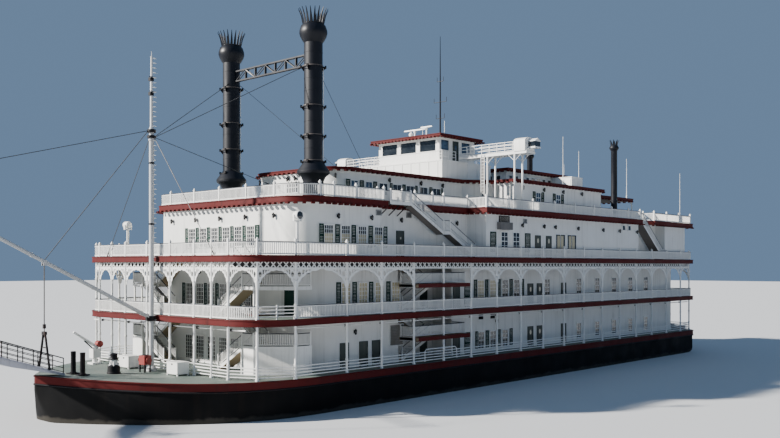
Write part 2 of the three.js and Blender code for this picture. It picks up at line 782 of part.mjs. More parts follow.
// The landing stage: a rising walkway on girders that taper at both ends, with its rails and
// the frame its inner fall lifts
function stage() {
  const outX = STAGE_IN.x + STAGE_LENGTH * Math.cos((STAGE_RISE_DEG * Math.PI) / 180);
  const taper = 4;
  const girder = sidePlate(
    [
      [STAGE_IN.x, STAGE_IN.z],
      [STAGE_IN.x, STAGE_IN.z - 0.14],
      [STAGE_IN.x + taper, stageZ(STAGE_IN.x + taper) - 0.55],
      [outX - taper, stageZ(outX - taper) - 0.55],
      [outX, stageZ(outX) - 0.2],
      [outX, stageZ(outX)],
    ],
    -STAGE_HALF,
    STAGE_HALF,
  );
  const pieces = [girder];
  for (const y of [-STAGE_HALF + 0.05, STAGE_HALF - 0.05]) {
    const railFrom = [STAGE_IN.x + 0.1, y, STAGE_IN.z + STAGE_RAIL];
    pieces.push(rod(railFrom, [outX - 0.1, y, stageZ(outX - 0.1) + STAGE_RAIL], 0.05, 4));
    const posts = 6;
    for (let i = 0; i <= posts; i += 1) {
      const x = STAGE_IN.x + 0.12 + ((outX - STAGE_IN.x - 0.24) * i) / posts;
      pieces.push(rod([x, y, stageZ(x) - 0.06], [x, y, stageZ(x) + STAGE_RAIL], 0.045, 4));
    }
    const legFoot = [INNER_FALL_X, y, stageZ(INNER_FALL_X) - 0.06];
    pieces.push(rod(legFoot, [INNER_FALL_X, y * 0.15, A_FRAME_TOP], 0.1, 4));
  }
  const crossBar = (x, half, top) => box(x - 0.1, x + 0.1, -half, half, top - 0.25, top);
  pieces.push(crossBar(INNER_FALL_X, 0.25, A_FRAME_TOP + 0.1));
  pieces.push(crossBar(SLING_X, STAGE_HALF, SLING_Z));
  return join(pieces);
}

function searchlight() {
  const x = 28.2;
  const y = 12.25;
  const foot = DECK_3 + GAP;
  return join([
    rod([x, y, foot], [x, y, foot + 2.9], 0.12, 8),
    rod([x, y, foot], [x, y, foot + 0.1], 0.25, 8),
    rod([x - 0.3, y, foot + 3.1], [x + 0.35, y, foot + 3.1], 0.36, 12),
  ]);
}

// Radar scanners and the tall aerial mast on one plate on the pilothouse roof
function aerials() {
  const z = PILOT_TOP + GAP;
  return join([
    box(-4.8, 0.8, -0.25, 0.25, z, z + 0.12),
    rod([-4.2, 0, z], [-4.2, 0, 39.75], 0.1, 6),
    box(-4.25, -4.15, -0.9, 0.9, 32.2, 32.3),
    rod([0.2, 0, z], [0.2, 0, z + 0.9], 0.1, 6),
    box(0.05, 0.35, -1.5, 1.5, z + 0.85, z + 1.1),
    rod([-1.8, 0, z], [-1.8, 0, z + 1.5], 0.12, 6),
    box(-1.95, -1.65, -0.8, 0.8, z + 1.4, z + 1.65),
  ]);
}

// One mooring bitt of the pair, on its base plate
function bitt() {
  const x = 39.85;
  const y = 0.72;
  const foot = deckZ(x + 0.4);
  return join([
    box(x - 0.4, x + 0.4, y - 0.4, y + 0.4, foot, foot + 0.1),
    rod([x, y, foot], [x, y, foot + 1.75], 0.21, 10),
  ]);
}

// The boom's winch: a gearbox with its drum, on four legs ahead of the mast
function winch() {
  const x = 34.25;
  const y = 0.45;
  const foot = deckZ(x + 0.3);
  const pieces = [
    box(x - 0.32, x + 0.32, y - 0.42, y + 0.42, foot + 0.62, foot + 1.4),
    rod([x, y - 0.62, foot + 1], [x, y + 0.62, foot + 1], 0.27, 10),
  ];
  for (const legX of [x - 0.25, x + 0.25]) {
    for (const legY of [y - 0.35, y + 0.35]) {
      pieces.push(box(legX - 0.06, legX + 0.06, legY - 0.06, legY + 0.06, foot, foot + 0.7));
    }
  }
  return join(pieces);
}

// Rows [radius, height over the foredeck] of the capstan
const CAPSTAN_ROWS = [
  [0, 0],
  [0.55, 0],
  [0.48, 0.6],
  [0.3, 0.7],
  [0.26, 0.95],
  [0.38, 1.12],
  [0.3, 1.2],
  [0.27, 1.28],
  [0.3, 1.55],
  [0.18, 1.62],
  [0, 1.62],
];

function capstan() {
  const x = 36.8;
  const foot = deckZ(x + 0.5);
  return turned(CAPSTAN_ROWS.map(([radius, z]) => [radius, foot + z]), x, 0, 12);
}

// The starboard jib crane: a machine on a post with a short rising arm and its motor
function jibCrane() {
  const x = 33.9;
  const y = -8.2;
  const foot = deckZ(x + 0.5);
  return join([
    box(x - 0.45, x + 0.45, y - 0.45, y + 0.45, foot, foot + 0.15),
    rod([x, y, foot], [x, y, foot + 1.6], 0.2, 8),
    box(x - 0.4, x + 0.35, y - 0.35, y + 0.35, foot + 0.55, foot + 1.35),
    rod([x - 0.3, y, foot + 1.4], [x + 2.05, y, foot + 2.95], 0.13, 8),
    rod([x - 0.4, y - 0.3, foot + 1.75], [x - 0.4, y + 0.3, foot + 1.75], 0.3, 10),
  ]);
}

// Aft edge of the deck chests, and their size along x and y
const CHEST = { x: 32.95, long: 1.15, wide: 1.5 };

// One chest on short legs, from its starboard edge
function chest(y) {
  const { x, long, wide } = CHEST;
  const foot = deckZ(x + long);
  const pieces = [box(x, x + long, y, y + wide, foot + 0.12, foot + 1.1)];
  for (const legX of [x + 0.08, x + long - 0.08]) {
    for (const legY of [y + 0.08, y + wide - 0.08]) {
      pieces.push(box(legX - 0.06, legX + 0.06, legY - 0.06, legY + 0.06, foot, foot + 0.2));
    }
  }
  return join(pieces);
}

// Port wheel beam from the transom aft, with the shaft's bearing
function wheelBeam() {
  const y0 = BEAM_Y;
  const y1 = BEAM_Y + BEAM_WIDE;
  const beam = sidePlate(
    [
      [TRANSOM - GAP, 2.6],
      [TRANSOM - GAP, 4.9],
      [-51.6, 4.9],
      [-51.6, 4.2],
    ],
    y0,
    y1,
  );
  const block = box(WHEEL_X - 0.8, WHEEL_X + 0.8, y0, y1, 4.1, 5.4);
  const bore = rod([WHEEL_X, y0 - 1, WHEEL_Z], [WHEEL_X, y1 + 1, WHEEL_Z], SHAFT_R + 0.04, 16);
  return beam.add(block).subtract(bore);
}

// The paddle wheel: shaft, four spoked frames with two rims each, and the bucket planks
function paddleWheel() {
  const end = BEAM_Y + BEAM_WIDE - 0.1;
  const pieces = [rod([0, -end, 0], [0, end, 0], SHAFT_R, 16)];
  const frames = [-5.6, 0, 5.6];
  for (const y of frames) {
    pieces.push(rod([0, y - 0.15, 0], [0, y + 0.15, 0], 0.75, BUCKETS));
    const disc = rod([0, y - 0.07, 0], [0, y + 0.07, 0], 2.5, BUCKETS);
    pieces.push(disc.subtract(rod([0, y - 1, 0], [0, y + 1, 0], 2.2, BUCKETS)));
  }
  for (let i = 0; i < BUCKETS; i += 1) {
    const turn = (i * 360) / BUCKETS;
    const arms = frames.map((y) => box(0.4, WHEEL_R - 0.1, y - 0.07, y + 0.07, -0.07, 0.07));
    const bucket = box(WHEEL_R - 0.95, WHEEL_R, -WHEEL_HALF, WHEEL_HALF, 0.02, 0.12);
    pieces.push(join([...arms, bucket]).rotate([0, turn, 0]));
  }
  return join(pieces).translate([WHEEL_X, 0, WHEEL_Z]);
}

function rudder() {
  const y = RUDDER_Y;
  return join([
    box(RUDDER_X - 2.1, RUDDER_X + 1.1, y - 0.06, y + 0.06, 0.15, 1.35),
    rod([RUDDER_X, y, 0.15], [RUDDER_X, y, 2.6], STOCK_R, 8),
  ]);
}

function aftCanopy() {
  const x0 = -40.5;
  const x1 = -29.5;
  const half = 5.2;
  const top = 23.0;
  const pieces = [box(x0, x1, -half, half, top - 0.4, top)];
  for (const x of [x0 + 0.2, (x0 + x1) / 2, x1 - 0.2]) {
    for (const y of [-half + 0.2, half - 0.2]) {
      pieces.push(box(x - 0.08, x + 0.08, y - 0.08, y + 0.08, DECK_4 + GAP, top - 0.1));
    }
  }
  return join(pieces);
}

const boat = new THREE.Group();

// Adds one named mesh, scaled from metres of the boat to millimetres of the model
function add(name, piece, look) {
  const data = piece.scale([MODEL_MM, MODEL_MM, MODEL_MM]).getMesh();
  const geometry = new THREE.BufferGeometry();
  geometry.setAttribute("position", new THREE.BufferAttribute(data.vertProperties, 3));
  geometry.setIndex(new THREE.BufferAttribute(data.triVerts, 1));
  geometry.computeVertexNormals();
  const mesh = new THREE.Mesh(geometry, new THREE.MeshStandardMaterial(look));
  mesh.name = name;
  boat.add(mesh);
}

function addPair(name, port, look) {
  add(`${name}_port`, port, look);
  add(`${name}_starboard`, mirrorY(port), look);
}

add("hull", hull(), BLACK);
add("main_deck", mainDeck(), MAROON);
add("deck_2", deck(DECK_2), MAROON);
add("deck_3", deck(DECK_3), MAROON);
add("deck_4", deck4(), MAROON);
add("house_1", house(DECK_1, DECK_2), WHITE);
add("house_2", house(DECK_2, DECK_3), WHITE);
add("house_3", house3(), WHITE);
add("texas_house", texasHouse(), WHITE);
add("texas_roof", texasRoof(), DECK_GREY);
add("pilothouse_base", pilothouseBase(), WHITE);
add("pilothouse", pilothouse(), WHITE);
add("pilothouse_roof", pilothouseRoof(), MAROON);
addPair("bridge_wing", bridgeWing(), WHITE);
addPair("gallery_1", gallery(DECK_1, DECK_2), WHITE);
addPair("gallery_2", gallery(DECK_2, DECK_3), WHITE);
addPair("rail_3", openRail(columnPlaces().filter(everySecond), edgePlan, DECK_3), WHITE);
addPair("rail_4", openRail(rail4Places(), edge4Plan, DECK_4), WHITE);
addPair("front_stairs_1", frontStairs(DECK_1, DECK_2, true), WHITE);
addPair("front_stairs_2", frontStairs(DECK_2, DECK_3, false), WHITE);
addPair("side_stairs_1", sideStairs(DECK_1, DECK_2), WHITE);
addPair("side_stairs_2", sideStairs(DECK_2, DECK_3), WHITE);
addPair("deck_4_stairs", deck4Stairs(), WHITE);
addPair("stack", mainStack(), BLACK);
add("stack_truss", stackTruss(), BLACK);
addPair("aft_stack", aftStack(), BLACK);
add("stage_mast", stageMast(), WHITE);
add("mast_stays", mastStays(), STEEL);
add("boom", boom(), WHITE);
const innerBlock = boomZ(INNER_FALL_X) - 0.3 - GAP;
const outerBlock = BOOM_TIP.z - 0.3 - GAP;
add("fall_inner", fall(INNER_FALL_X, innerBlock, A_FRAME_TOP + 0.1 + GAP), STEEL);
add("fall_outer", fall(SLING_X, outerBlock, SLING_Z + GAP), STEEL);
add("landing_stage", stage(), STEEL);
addPair("searchlight", searchlight(), WHITE);
add("aerials", aerials(), WHITE);
addPair("bitt", bitt(), BLACK);
add("capstan", capstan(), BLACK);
add("winch", winch(), RED);
add("jib_crane", jibCrane(), WHITE);
add("chest_port", chest(3.3), WHITE);
add("chest_starboard", chest(-3.85), WHITE);
addPair("wheel_beam", wheelBeam(), BLACK);
add("paddle_wheel", paddleWheel(), RED);
addPair("rudder", rudder(), BLACK);
add("aft_canopy", aftCanopy(), WHITE);

export default boat;
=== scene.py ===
"""Looks of a sternwheel river boat at one tenth scale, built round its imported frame.

Sizes are in metres of the real boat: x towards the bow from amidships, y to port, z up from the
hull's bottom. M turns them into metres of the model when a mesh is made.
"""
import math

import bmesh
import bpy
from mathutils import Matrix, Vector
from mathutils.geometry import tessellate_polygon


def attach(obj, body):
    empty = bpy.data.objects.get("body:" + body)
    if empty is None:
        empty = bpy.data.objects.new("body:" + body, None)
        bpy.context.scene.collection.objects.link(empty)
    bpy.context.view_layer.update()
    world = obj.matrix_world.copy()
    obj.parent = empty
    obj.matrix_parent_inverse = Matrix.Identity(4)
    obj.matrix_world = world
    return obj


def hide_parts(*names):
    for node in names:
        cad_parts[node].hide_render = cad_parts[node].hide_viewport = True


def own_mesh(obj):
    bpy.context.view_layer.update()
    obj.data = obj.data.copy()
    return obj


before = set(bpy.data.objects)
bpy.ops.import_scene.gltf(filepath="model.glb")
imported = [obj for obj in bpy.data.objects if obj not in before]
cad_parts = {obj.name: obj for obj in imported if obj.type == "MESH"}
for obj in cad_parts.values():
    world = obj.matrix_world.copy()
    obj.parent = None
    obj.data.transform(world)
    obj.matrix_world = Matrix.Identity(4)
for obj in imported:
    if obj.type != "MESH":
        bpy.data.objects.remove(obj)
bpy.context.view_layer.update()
M = 0.1
SIDES = (1, -1)  # port and starboard
PORT = math.pi / 2  # the turn that faces a unit to port

# Levels
WATERLINE = 2.0
DECK_1 = 4.95
DECK_2 = 9.55
DECK_3 = 14.45
DECK_4 = 19.35
TEXAS_TOP = 22.75
CANOPY_TOP = 22.98
BASE_TOP = 24.85
WING_TOP = 25.28
PILOT_TOP = 27.6
STOREYS = ((1, DECK_1, DECK_2), (2, DECK_2, DECK_3))
SLAB = 0.4
GUARD = 0.75

# Hull and deck outlines
STEM = 43.3
TRANSOM = -43.3
SHOULDER = 25.7
HALF_BEAM = 13.0
BOW_POWER = 2.5
SHEER_START = 33.0
SHEER_RISE = 0.55
SPOON = (36.0, 4.45, 8)  # start, rise and power of the bow's upward curve
RAKE = (-34.0, 2.2)  # start and rise of the stern's slope
BILGE = 0.6  # radius of the hull's lower corners
DECK_FRONT = 32.95
DECK_AFT = -42.8
DECK_CORNER = 3.6
HOUSE_FRONT = 26.7
HOUSE_AFT = -41.2
HOUSE_HALF = 10.6
HOUSE_CORNER = 4.6
HOUSE_CENTRE = (HOUSE_FRONT - HOUSE_CORNER, HOUSE_HALF - HOUSE_CORNER)  # of the rounded corner
RECESS = (14.7, 7.0, 2.4)  # front, aft and depth of the stair recess
DECK_4_FRONT = 26.75
FORE_HALF = 11.2
DECK_4_CORNER = 3.0
STEP_X = 16.7
WAIST_HALF = 10.4
FLARE_X = 4.15
AFT_HALF = 12.7
NOTCH = (-28.3, -31.6, 11.2)  # front, aft and half width at the aft stair's notch
HOUSE_3_INSET = 0.4
HOUSE_3_FRONT = DECK_4_FRONT - HOUSE_3_INSET
HOUSE_3_FORE = FORE_HALF - HOUSE_3_INSET
HOUSE_3_WAIST = WAIST_HALF - HOUSE_3_INSET
HOUSE_3_AFT = AFT_HALF - HOUSE_3_INSET
HOUSE_3_NOTCH_AFT = -35.2
TEXAS_FRONT = 18.0
TEXAS_CORNER = 2.0
TEXAS_FORE = 5.9  # half width of the texas forward of its flare
TEXAS_AFT = 10.8  # and aft of it
TEXAS_FLARE = (-0.65, -3.3, 8.0)  # start and end of the slanted wall, and half width at its end
TEXAS_END = -21.3
EDGE_INSET = 0.25  # from a deck's edge to its rail and columns

# Columns round decks 1 and 2, port side: the front row, the corner, then the side
FRONT_COLUMNS = [(32.7, y) for y in (1.69, 5.08, 7.35, 9.47)]
SIDE_PITCH = 4.145
SIDE_ROW = HALF_BEAM - EDGE_INSET
GATE_FRONT = (31.75, 11.75)
GATE_AFT = (28.82, SIDE_ROW)
SIDE_COLUMNS = [GATE_FRONT, GATE_AFT, (23.3, SIDE_ROW)]
SIDE_COLUMNS += [(19.16 - SIDE_PITCH * i, SIDE_ROW) for i in range(15)]
AFT_COLUMNS = [(-42.55, 12.3), (-42.55, 8.2), (-42.55, 3.5)]


def polar(centre, radius, angle):
    """A point at a radius and an angle round a centre."""
    return (centre[0] + radius * math.cos(angle), centre[1] + radius * math.sin(angle))


def circle(centre, radius, sides):
    """Points round a centre in a plane."""
    return [polar(centre, radius, 2 * math.pi * k / sides) for k in range(sides)]


def between(a, b, share):
    """The point at a share of the way from one point to another."""
    return tuple(u + (v - u) * share for u, v in zip(a, b))


def oblong(low_u, high_u, low_v, high_v):
    """Corners of a rectangle, anticlockwise."""
    return [(low_u, low_v), (high_u, low_v), (high_u, high_v), (low_u, high_v)]


def shifted(rows, by):
    """Rows with their second number moved on by a distance."""
    return [(first, by + second) for first, second in rows]


def pair(name):
    """The names of a node's port and starboard halves."""
    return [name + "_port", name + "_starboard"]


def on_axis(rows, along, axis):
    """Points of a flat outline at one place along an axis; rows are their other two coordinates."""
    at = "xyz".index(axis)
    return [(*row[:at], along, *row[at:]) for row in rows]


class Shape:
    """Points and faces in metres of the real boat, each face with the number of its finish."""

    def __init__(self):
        self.points = []
        self.faces = []
        self.finishes = []

    def add(self, points, faces, finish=0):
        start = len(self.points)
        self.points += [tuple(point) for point in points]
        self.faces += [[start + i for i in face] for face in faces]
        self.finishes += [finish] * len(faces)
        return self

    def box(self, low, high, finish=0):
        (x0, y0, z0), (x1, y1, z1) = low, high
        points = [(x, y, z) for x in (x0, x1) for y in (y0, y1) for z in (z0, z1)]
        faces = [(0, 1, 3, 2), (4, 6, 7, 5), (0, 4, 5, 1), (2, 3, 7, 6), (0, 2, 6, 4), (1, 5, 7, 3)]
        return self.add(points, faces, finish)

    def block(self, centre, size, finish=0):
        """A box by its middle and its whole size."""
        low = [c - s / 2 for c, s in zip(centre, size)]
        high = [c + s / 2 for c, s in zip(centre, size)]
        return self.box(low, high, finish)

    def loft(self, rings, round_trip=False, finish=0, edge_finishes=None):
        """Faces between rings of equal length, closed by end faces or back to the first ring.

        edge_finishes gives the strip along each edge of the ring a finish of its own.
        """
        count = len(rings[0])
        start = len(self.points)
        self.points += [tuple(point) for ring in rings for point in ring]
        for r in range(len(rings) - (not round_trip)):
            a, b = start + r * count, start + (r + 1) % len(rings) * count
            for i in range(count):
                j = (i + 1) % count
                self.faces.append([a + i, a + j, b + j, b + i])
                self.finishes.append(edge_finishes[i] if edge_finishes else finish)
        if not round_trip:
            last = start + (len(rings) - 1) * count
            self.faces.append([start + i for i in range(count - 1, -1, -1)])
            self.faces.append([last + i for i in range(count)])
            self.finishes += [finish, finish]
        return self

    def rod(self, a, b, radius, sides=8, finish=0, end_radius=None):
        """A round bar between two points."""
        return self.tube([a, b], radius, sides, finish, end_radius)

    def post(self, place, low, high, radius, sides=8, finish=0, end_radius=None):
        """An upright round bar over a place in plan."""
        return self.rod((*place, low), (*place, high), radius, sides, finish, end_radius)

    def tube(self, path, radius, sides=8, finish=0, end_radius=None):
        """A round bar along a path, with an even taper to end_radius."""
        path = [Vector(point) for point in path]
        last = radius if end_radius is None else end_radius
        along = (path[1] - path[0]).normalized()
        side = along.orthogonal().normalized()
        rings = []
        for i, point in enumerate(path):
            before = path[max(i - 1, 0)]
            after = path[min(i + 1, len(path) - 1)]
            turned = (after - before).normalized()
            side = (side - turned * side.dot(turned)).normalized()
            up = turned.cross(side)
            r = radius + (last - radius) * i / (len(path) - 1)
            ring = []
            for k in range(sides):
                angle = 2 * math.pi * k / sides
                ring.append(point + side * (r * math.cos(angle)) + up * (r * math.sin(angle)))
            rings.append(ring)
        return self.loft(rings, finish=finish)

    def turned(self, profile, centre=(0, 0), sides=24, finish=0, axis="z"):
        """A round piece from rows of radius and place along its axis, its ends closed."""
        rings = [on_axis(circle(centre, radius, sides), along, axis) for radius, along in profile]
        return self.loft(rings, finish=finish)

    def collar(self, section, centre, sides=20, finish=0):
        """A ring with a bore from a closed section of rows of radius and height."""
        hoops = [on_axis(circle(centre, radius, sides), z, "z") for radius, z in section]
        return self.loft(list(zip(*hoops)), True, finish)

    def upright(self):
        """A flat plate turned up on its edge, so that its y becomes its height."""
        self.points = [(x, -z, y) for x, y, z in self.points]
        return self

    def slab(self, outline, z0, z1, holes=(), finishes=(0, 0, 0)):
        """A flat plate with holes; finishes are for its sides, its top and its underside."""
        side, top, under = finishes
        loops = [list(outline)] + [list(hole) for hole in holes]
        flat = [point for loop in loops for point in loop]
        triangles = tessellate_polygon([[Vector((x, y, 0)) for x, y in loop] for loop in loops])
        upward = []
        for a, b, c in triangles:
            (ax, ay), (bx, by), (cx, cy) = flat[a], flat[b], flat[c]
            turn = (bx - ax) * (cy - ay) - (by - ay) * (cx - ax)
            upward.append((a, b, c) if turn > 0 else (a, c, b))
        start = len(self.points)
        lift = len(flat)
        self.add([(x, y, z0) for x, y in flat], [(a, c, b) for a, b, c in upward], under)
        self.add([(x, y, z1) for x, y in flat], upward, top)
        first = start
        for loop in loops:
            for i in range(len(loop)):
                a, b = first + i, first + (i + 1) % len(loop)
                self.faces.append([a, b, b + lift, a + lift])
                self.finishes.append(side)
            first += len(loop)
        return self

    def prism(self, rows, low, high, axis="y", finish=0):
        """A flat outline carried along one axis; rows are its other two coordinates."""
        return self.loft([on_axis(rows, along, axis) for along in (low, high)], finish=finish)

    def band(self, path, profile, closed=True, finish=0, lift=None):
        """A section of rows (outward, height) carried along a plan path that runs anticlockwise.

        lift gives how far the section rises at each x, as the deck does towards the bow.
        """
        count = len(path)
        rings = []
        for i, (x, y) in enumerate(path):
            before = path[i - 1] if closed or i > 0 else None
            after = path[(i + 1) % count] if closed or i < count - 1 else None
            normals = []
            for a, b in ((before, (x, y)), ((x, y), after)):
                if a is None or b is None:
                    continue
                dx, dy = b[0] - a[0], b[1] - a[1]
                length = math.hypot(dx, dy)
                normals.append((dy / length, -dx / length))
            nx = sum(n[0] for n in normals) / len(normals)
            ny = sum(n[1] for n in normals) / len(normals)
            square = max(nx * nx + ny * ny, 0.2)
            rise = lift(x) if lift else 0
            ring = [(x + nx / square * out, y + ny / square * out, z + rise) for out, z in profile]
            rings.append(ring)
        return self.loft(rings, closed, finish)

    def mirrored(self):
        """This shape and its mirror image across the centreline."""
        count = len(self.points)
        self.points += [(x, -y, z) for x, y, z in self.points]
        self.faces += [[count + i for i in reversed(face)] for face in self.faces]
        self.finishes += list(self.finishes)
        return self

    def mesh(self, name):
        mesh = bpy.data.meshes.new(name)
        mesh.from_pydata([(x * M, y * M, z * M) for x, y, z in self.points], [], self.faces)
        for face, finish in zip(mesh.polygons, self.finishes):
            face.material_index = finish
        work = bmesh.new()
        work.from_mesh(mesh)
        bmesh.ops.recalc_face_normals(work, faces=work.faces)
        work.to_mesh(mesh)
        work.free()
        return mesh


def piece(name, shape, finishes, body="boat", replaces=(), smooth=None, bevel=0):
    """Makes a finished piece; finishes are its materials in the order of the shape's numbers."""
    made = bpy.data.objects.new(name, shape.mesh(name) if isinstance(shape, Shape) else shape)
    bpy.context.scene.collection.objects.link(made)
    if isinstance(shape, Shape):
        for finish in finishes:
            made.data.materials.append(finish)
    if smooth is not None:
        made.data.shade_smooth()
        made.data.set_sharp_from_angle(angle=math.radians(smooth))
    if bevel:
        round_edges = made.modifiers.new("soft edges", "BEVEL")
        round_edges.width = bevel * M
        round_edges.segments = 2
        round_edges.limit_method = "ANGLE"
        round_edges.angle_limit = math.radians(40)
    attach(made, body)
    if replaces:
        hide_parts(*replaces)
    return made


# Short calls for node trees, and the geometry trees that repeat a unit shape


class Nodes:
    """Short calls for building a node tree."""
    PREFIX = "ShaderNode"

    def __init__(self, tree):
        self.tree = tree

    def node(self, kind, **settings):
        made = self.tree.nodes.new(self.PREFIX + kind)
        for key, value in settings.items():
            setattr(made, key, value)
        return made

    def link(self, start, end):
        self.tree.links.new(start, end)

    def feed(self, sockets, values):
        """Gives each socket its number, its colour or a link."""
        for socket, value in zip(sockets, values):
            if isinstance(value, (int, float)):
                socket.default_value = value
            elif isinstance(value, tuple):
                socket.default_value = (*value, 1.0)
            else:
                self.link(value, socket)

    def math(self, operation, a, b=0.0):
        made = self.tree.nodes.new("ShaderNodeMath")
        made.operation = operation
        self.feed(made.inputs, (a, b))
        return made.outputs[0]

    def stretched(self, vector, scale):
        """A vector stretched by three factors."""
        made = self.node("Mapping")
        made.inputs["Scale"].default_value = scale
        self.link(vector, made.inputs["Vector"])
        return made.outputs[0]

    def scaled(self, vector, factor):
        made = self.node("VectorMath", operation="SCALE")
        self.link(vector, made.inputs[0])
        self.link(factor, made.inputs["Scale"])
        return made.outputs[0]

    def noise(self, vector, scale, detail, rough=0.55):
        made = self.node("TexNoise")
        labels = ("Vector", "Scale", "Detail", "Roughness")
        self.feed([made.inputs[label] for label in labels], (vector, scale, detail, rough))
        return made.outputs["Fac"]

    def ramp(self, value, low, high, start=0.0, end=1.0):
        """A value spread from low..high to start..end and held there."""
        made = self.node("MapRange")
        labels = ("From Min", "From Max", "To Min", "To Max", "Value")
        self.feed([made.inputs[label] for label in labels], (low, high, start, end, value))
        return made.outputs[0]

    def mix(self, mask, a, b, share=1.0):
        """Colour a where the mask is 0 and b, or a share of it, where the mask is 1."""
        if share != 1.0:
            mask = self.math("MULTIPLY", mask, share)
        made = self.node("Mix", data_type="RGBA")
        self.feed((made.inputs[0], made.inputs[6], made.inputs[7]), (mask, a, b))
        return made.outputs[2]


class Tree(Nodes):
    """A geometry node tree under construction, with named inputs."""
    PREFIX = ""

    def __init__(self, name, inputs):
        super().__init__(bpy.data.node_groups.new(name, "GeometryNodeTree"))
        face = self.tree.interface
        face.new_socket("Geometry", in_out="OUTPUT", socket_type="NodeSocketGeometry")
        face.new_socket("Geometry", in_out="INPUT", socket_type="NodeSocketGeometry")
        self.names = {}
        for label, kind in inputs:
            socket = face.new_socket(label, in_out="INPUT", socket_type="NodeSocket" + kind)
            self.names[label] = socket.identifier
        self.source = self.node("NodeGroupInput")

    def inlet(self, label):
        return self.source.outputs[label]

    def attribute(self, name):
        made = self.node("GeometryNodeInputNamedAttribute", data_type="FLOAT_VECTOR")
        made.inputs["Name"].default_value = name
        return made.outputs["Attribute"]

    def instances(self, points, turn, size=None):
        """The unit object at every point, turned and sized."""
        source = self.node("GeometryNodeObjectInfo", transform_space="ORIGINAL")
        self.link(self.inlet("Unit"), source.inputs["Object"])
        spread = self.node("GeometryNodeInstanceOnPoints")
        self.link(points, spread.inputs["Points"])
        self.link(source.outputs["Geometry"], spread.inputs["Instance"])
        self.link(turn, spread.inputs["Rotation"])
        if size:
            self.link(size, spread.inputs["Scale"])
        return spread.outputs[0]

    def end(self, geometry):
        """Realizes the instances, gives them their finish and closes the tree."""
        realize = self.node("GeometryNodeRealizeInstances")
        dress = self.node("GeometryNodeSetMaterial")
        out = self.node("NodeGroupOutput")
        self.link(geometry, realize.inputs[0])
        self.link(realize.outputs[0], dress.inputs["Geometry"])
        self.link(self.inlet("Finish"), dress.inputs["Material"])
        self.link(dress.outputs[0], out.inputs[0])
        return self


def places_tree():
    """A unit at every point of the base, with the turn and size that the point carries."""
    tree = Tree("Unit at places", [("Unit", "Object"), ("Finish", "Material")])
    points = tree.inlet("Geometry")
    return tree.end(tree.instances(points, tree.attribute("turn"), tree.attribute("size")))


def path_tree():
    """A unit at even steps along the base's edges, kept upright and facing along them."""
    inputs = [("Unit", "Object"), ("Finish", "Material"), ("Step", "Float")]
    tree = Tree("Unit along a path", inputs)
    curve = tree.node("GeometryNodeMeshToCurve")
    even = tree.node("GeometryNodeResampleCurve", mode="LENGTH")
    tangent = tree.node("GeometryNodeInputTangent")
    face = tree.node("FunctionNodeAlignRotationToVector", axis="X", pivot_axis="Z")
    tree.link(tree.inlet("Geometry"), curve.inputs["Mesh"])
    tree.link(curve.outputs[0], even.inputs["Curve"])
    tree.link(tree.inlet("Step"), even.inputs["Length"])
    tree.link(tangent.outputs[0], face.inputs["Vector"])
    return tree.end(tree.instances(even.outputs[0], face.outputs[0]))


def ring_tree():
    """A unit at even steps round an upright axis, each a little different in height."""
    inputs = [("Unit", "Object"), ("Finish", "Material"), ("Count", "Int"), ("Unevenness", "Float")]
    inputs += [("Seed", "Int"), ("Centre", "Vector")]
    tree = Tree("Unit round a ring", inputs)
    dots = tree.node("GeometryNodePoints")
    index = tree.node("GeometryNodeInputIndex")
    angle = tree.math("MULTIPLY", index.outputs[0], 2 * math.pi)
    angle = tree.math("DIVIDE", angle, tree.inlet("Count"))
    low = tree.math("SUBTRACT", 1.0, tree.inlet("Unevenness"))
    turn = tree.node("ShaderNodeCombineXYZ")
    uneven = tree.node("FunctionNodeRandomValue", data_type="FLOAT")
    size = tree.node("ShaderNodeCombineXYZ")
    place = tree.node("GeometryNodeTransform")
    tree.link(tree.inlet("Count"), dots.inputs["Count"])
    tree.link(angle, turn.inputs["Z"])
    tree.feed((uneven.inputs[2], uneven.inputs[3], uneven.inputs["Seed"]), (low, 1.0, tree.inlet("Seed")))
    tree.feed(size.inputs, (1.0, 1.0, uneven.outputs[1]))
    spread = tree.instances(dots.outputs[0], turn.outputs[0], size.outputs[0])
    tree.link(spread, place.inputs["Geometry"])
    tree.link(tree.inlet("Centre"), place.inputs["Translation"])
    return tree.end(place.outputs[0])


AT_PLACES = places_tree()
ALONG_PATH = path_tree()
ROUND_RING = ring_tree()


def base_points(places):
    """A mesh of loose points from rows of place, turn and size, where turn is an angle or three."""
    mesh = bpy.data.meshes.new("places")
    mesh.from_pydata([[c * M for c in place] for place, _, _ in places], [], [])
    turns = mesh.attributes.new("turn", "FLOAT_VECTOR", "POINT")
    sizes = mesh.attributes.new("size", "FLOAT_VECTOR", "POINT")
    for i, (_, turn, size) in enumerate(places):
        turns.data[i].vector = turn if isinstance(turn, tuple) else (0, 0, turn)
        sizes.data[i].vector = size if isinstance(size, tuple) else (size, size, size)
    return mesh


def base_paths(paths):
    """A mesh of edges from several open paths of points in space."""
    points = []
    edges = []
    for path in paths:
        start = len(points)
        points += [[c * M for c in point] for point in path]
        edges += [(start + i, start + i + 1) for i in range(len(path) - 1)]
    mesh = bpy.data.meshes.new("paths")
    mesh.from_pydata(points, edges, [])
    return mesh


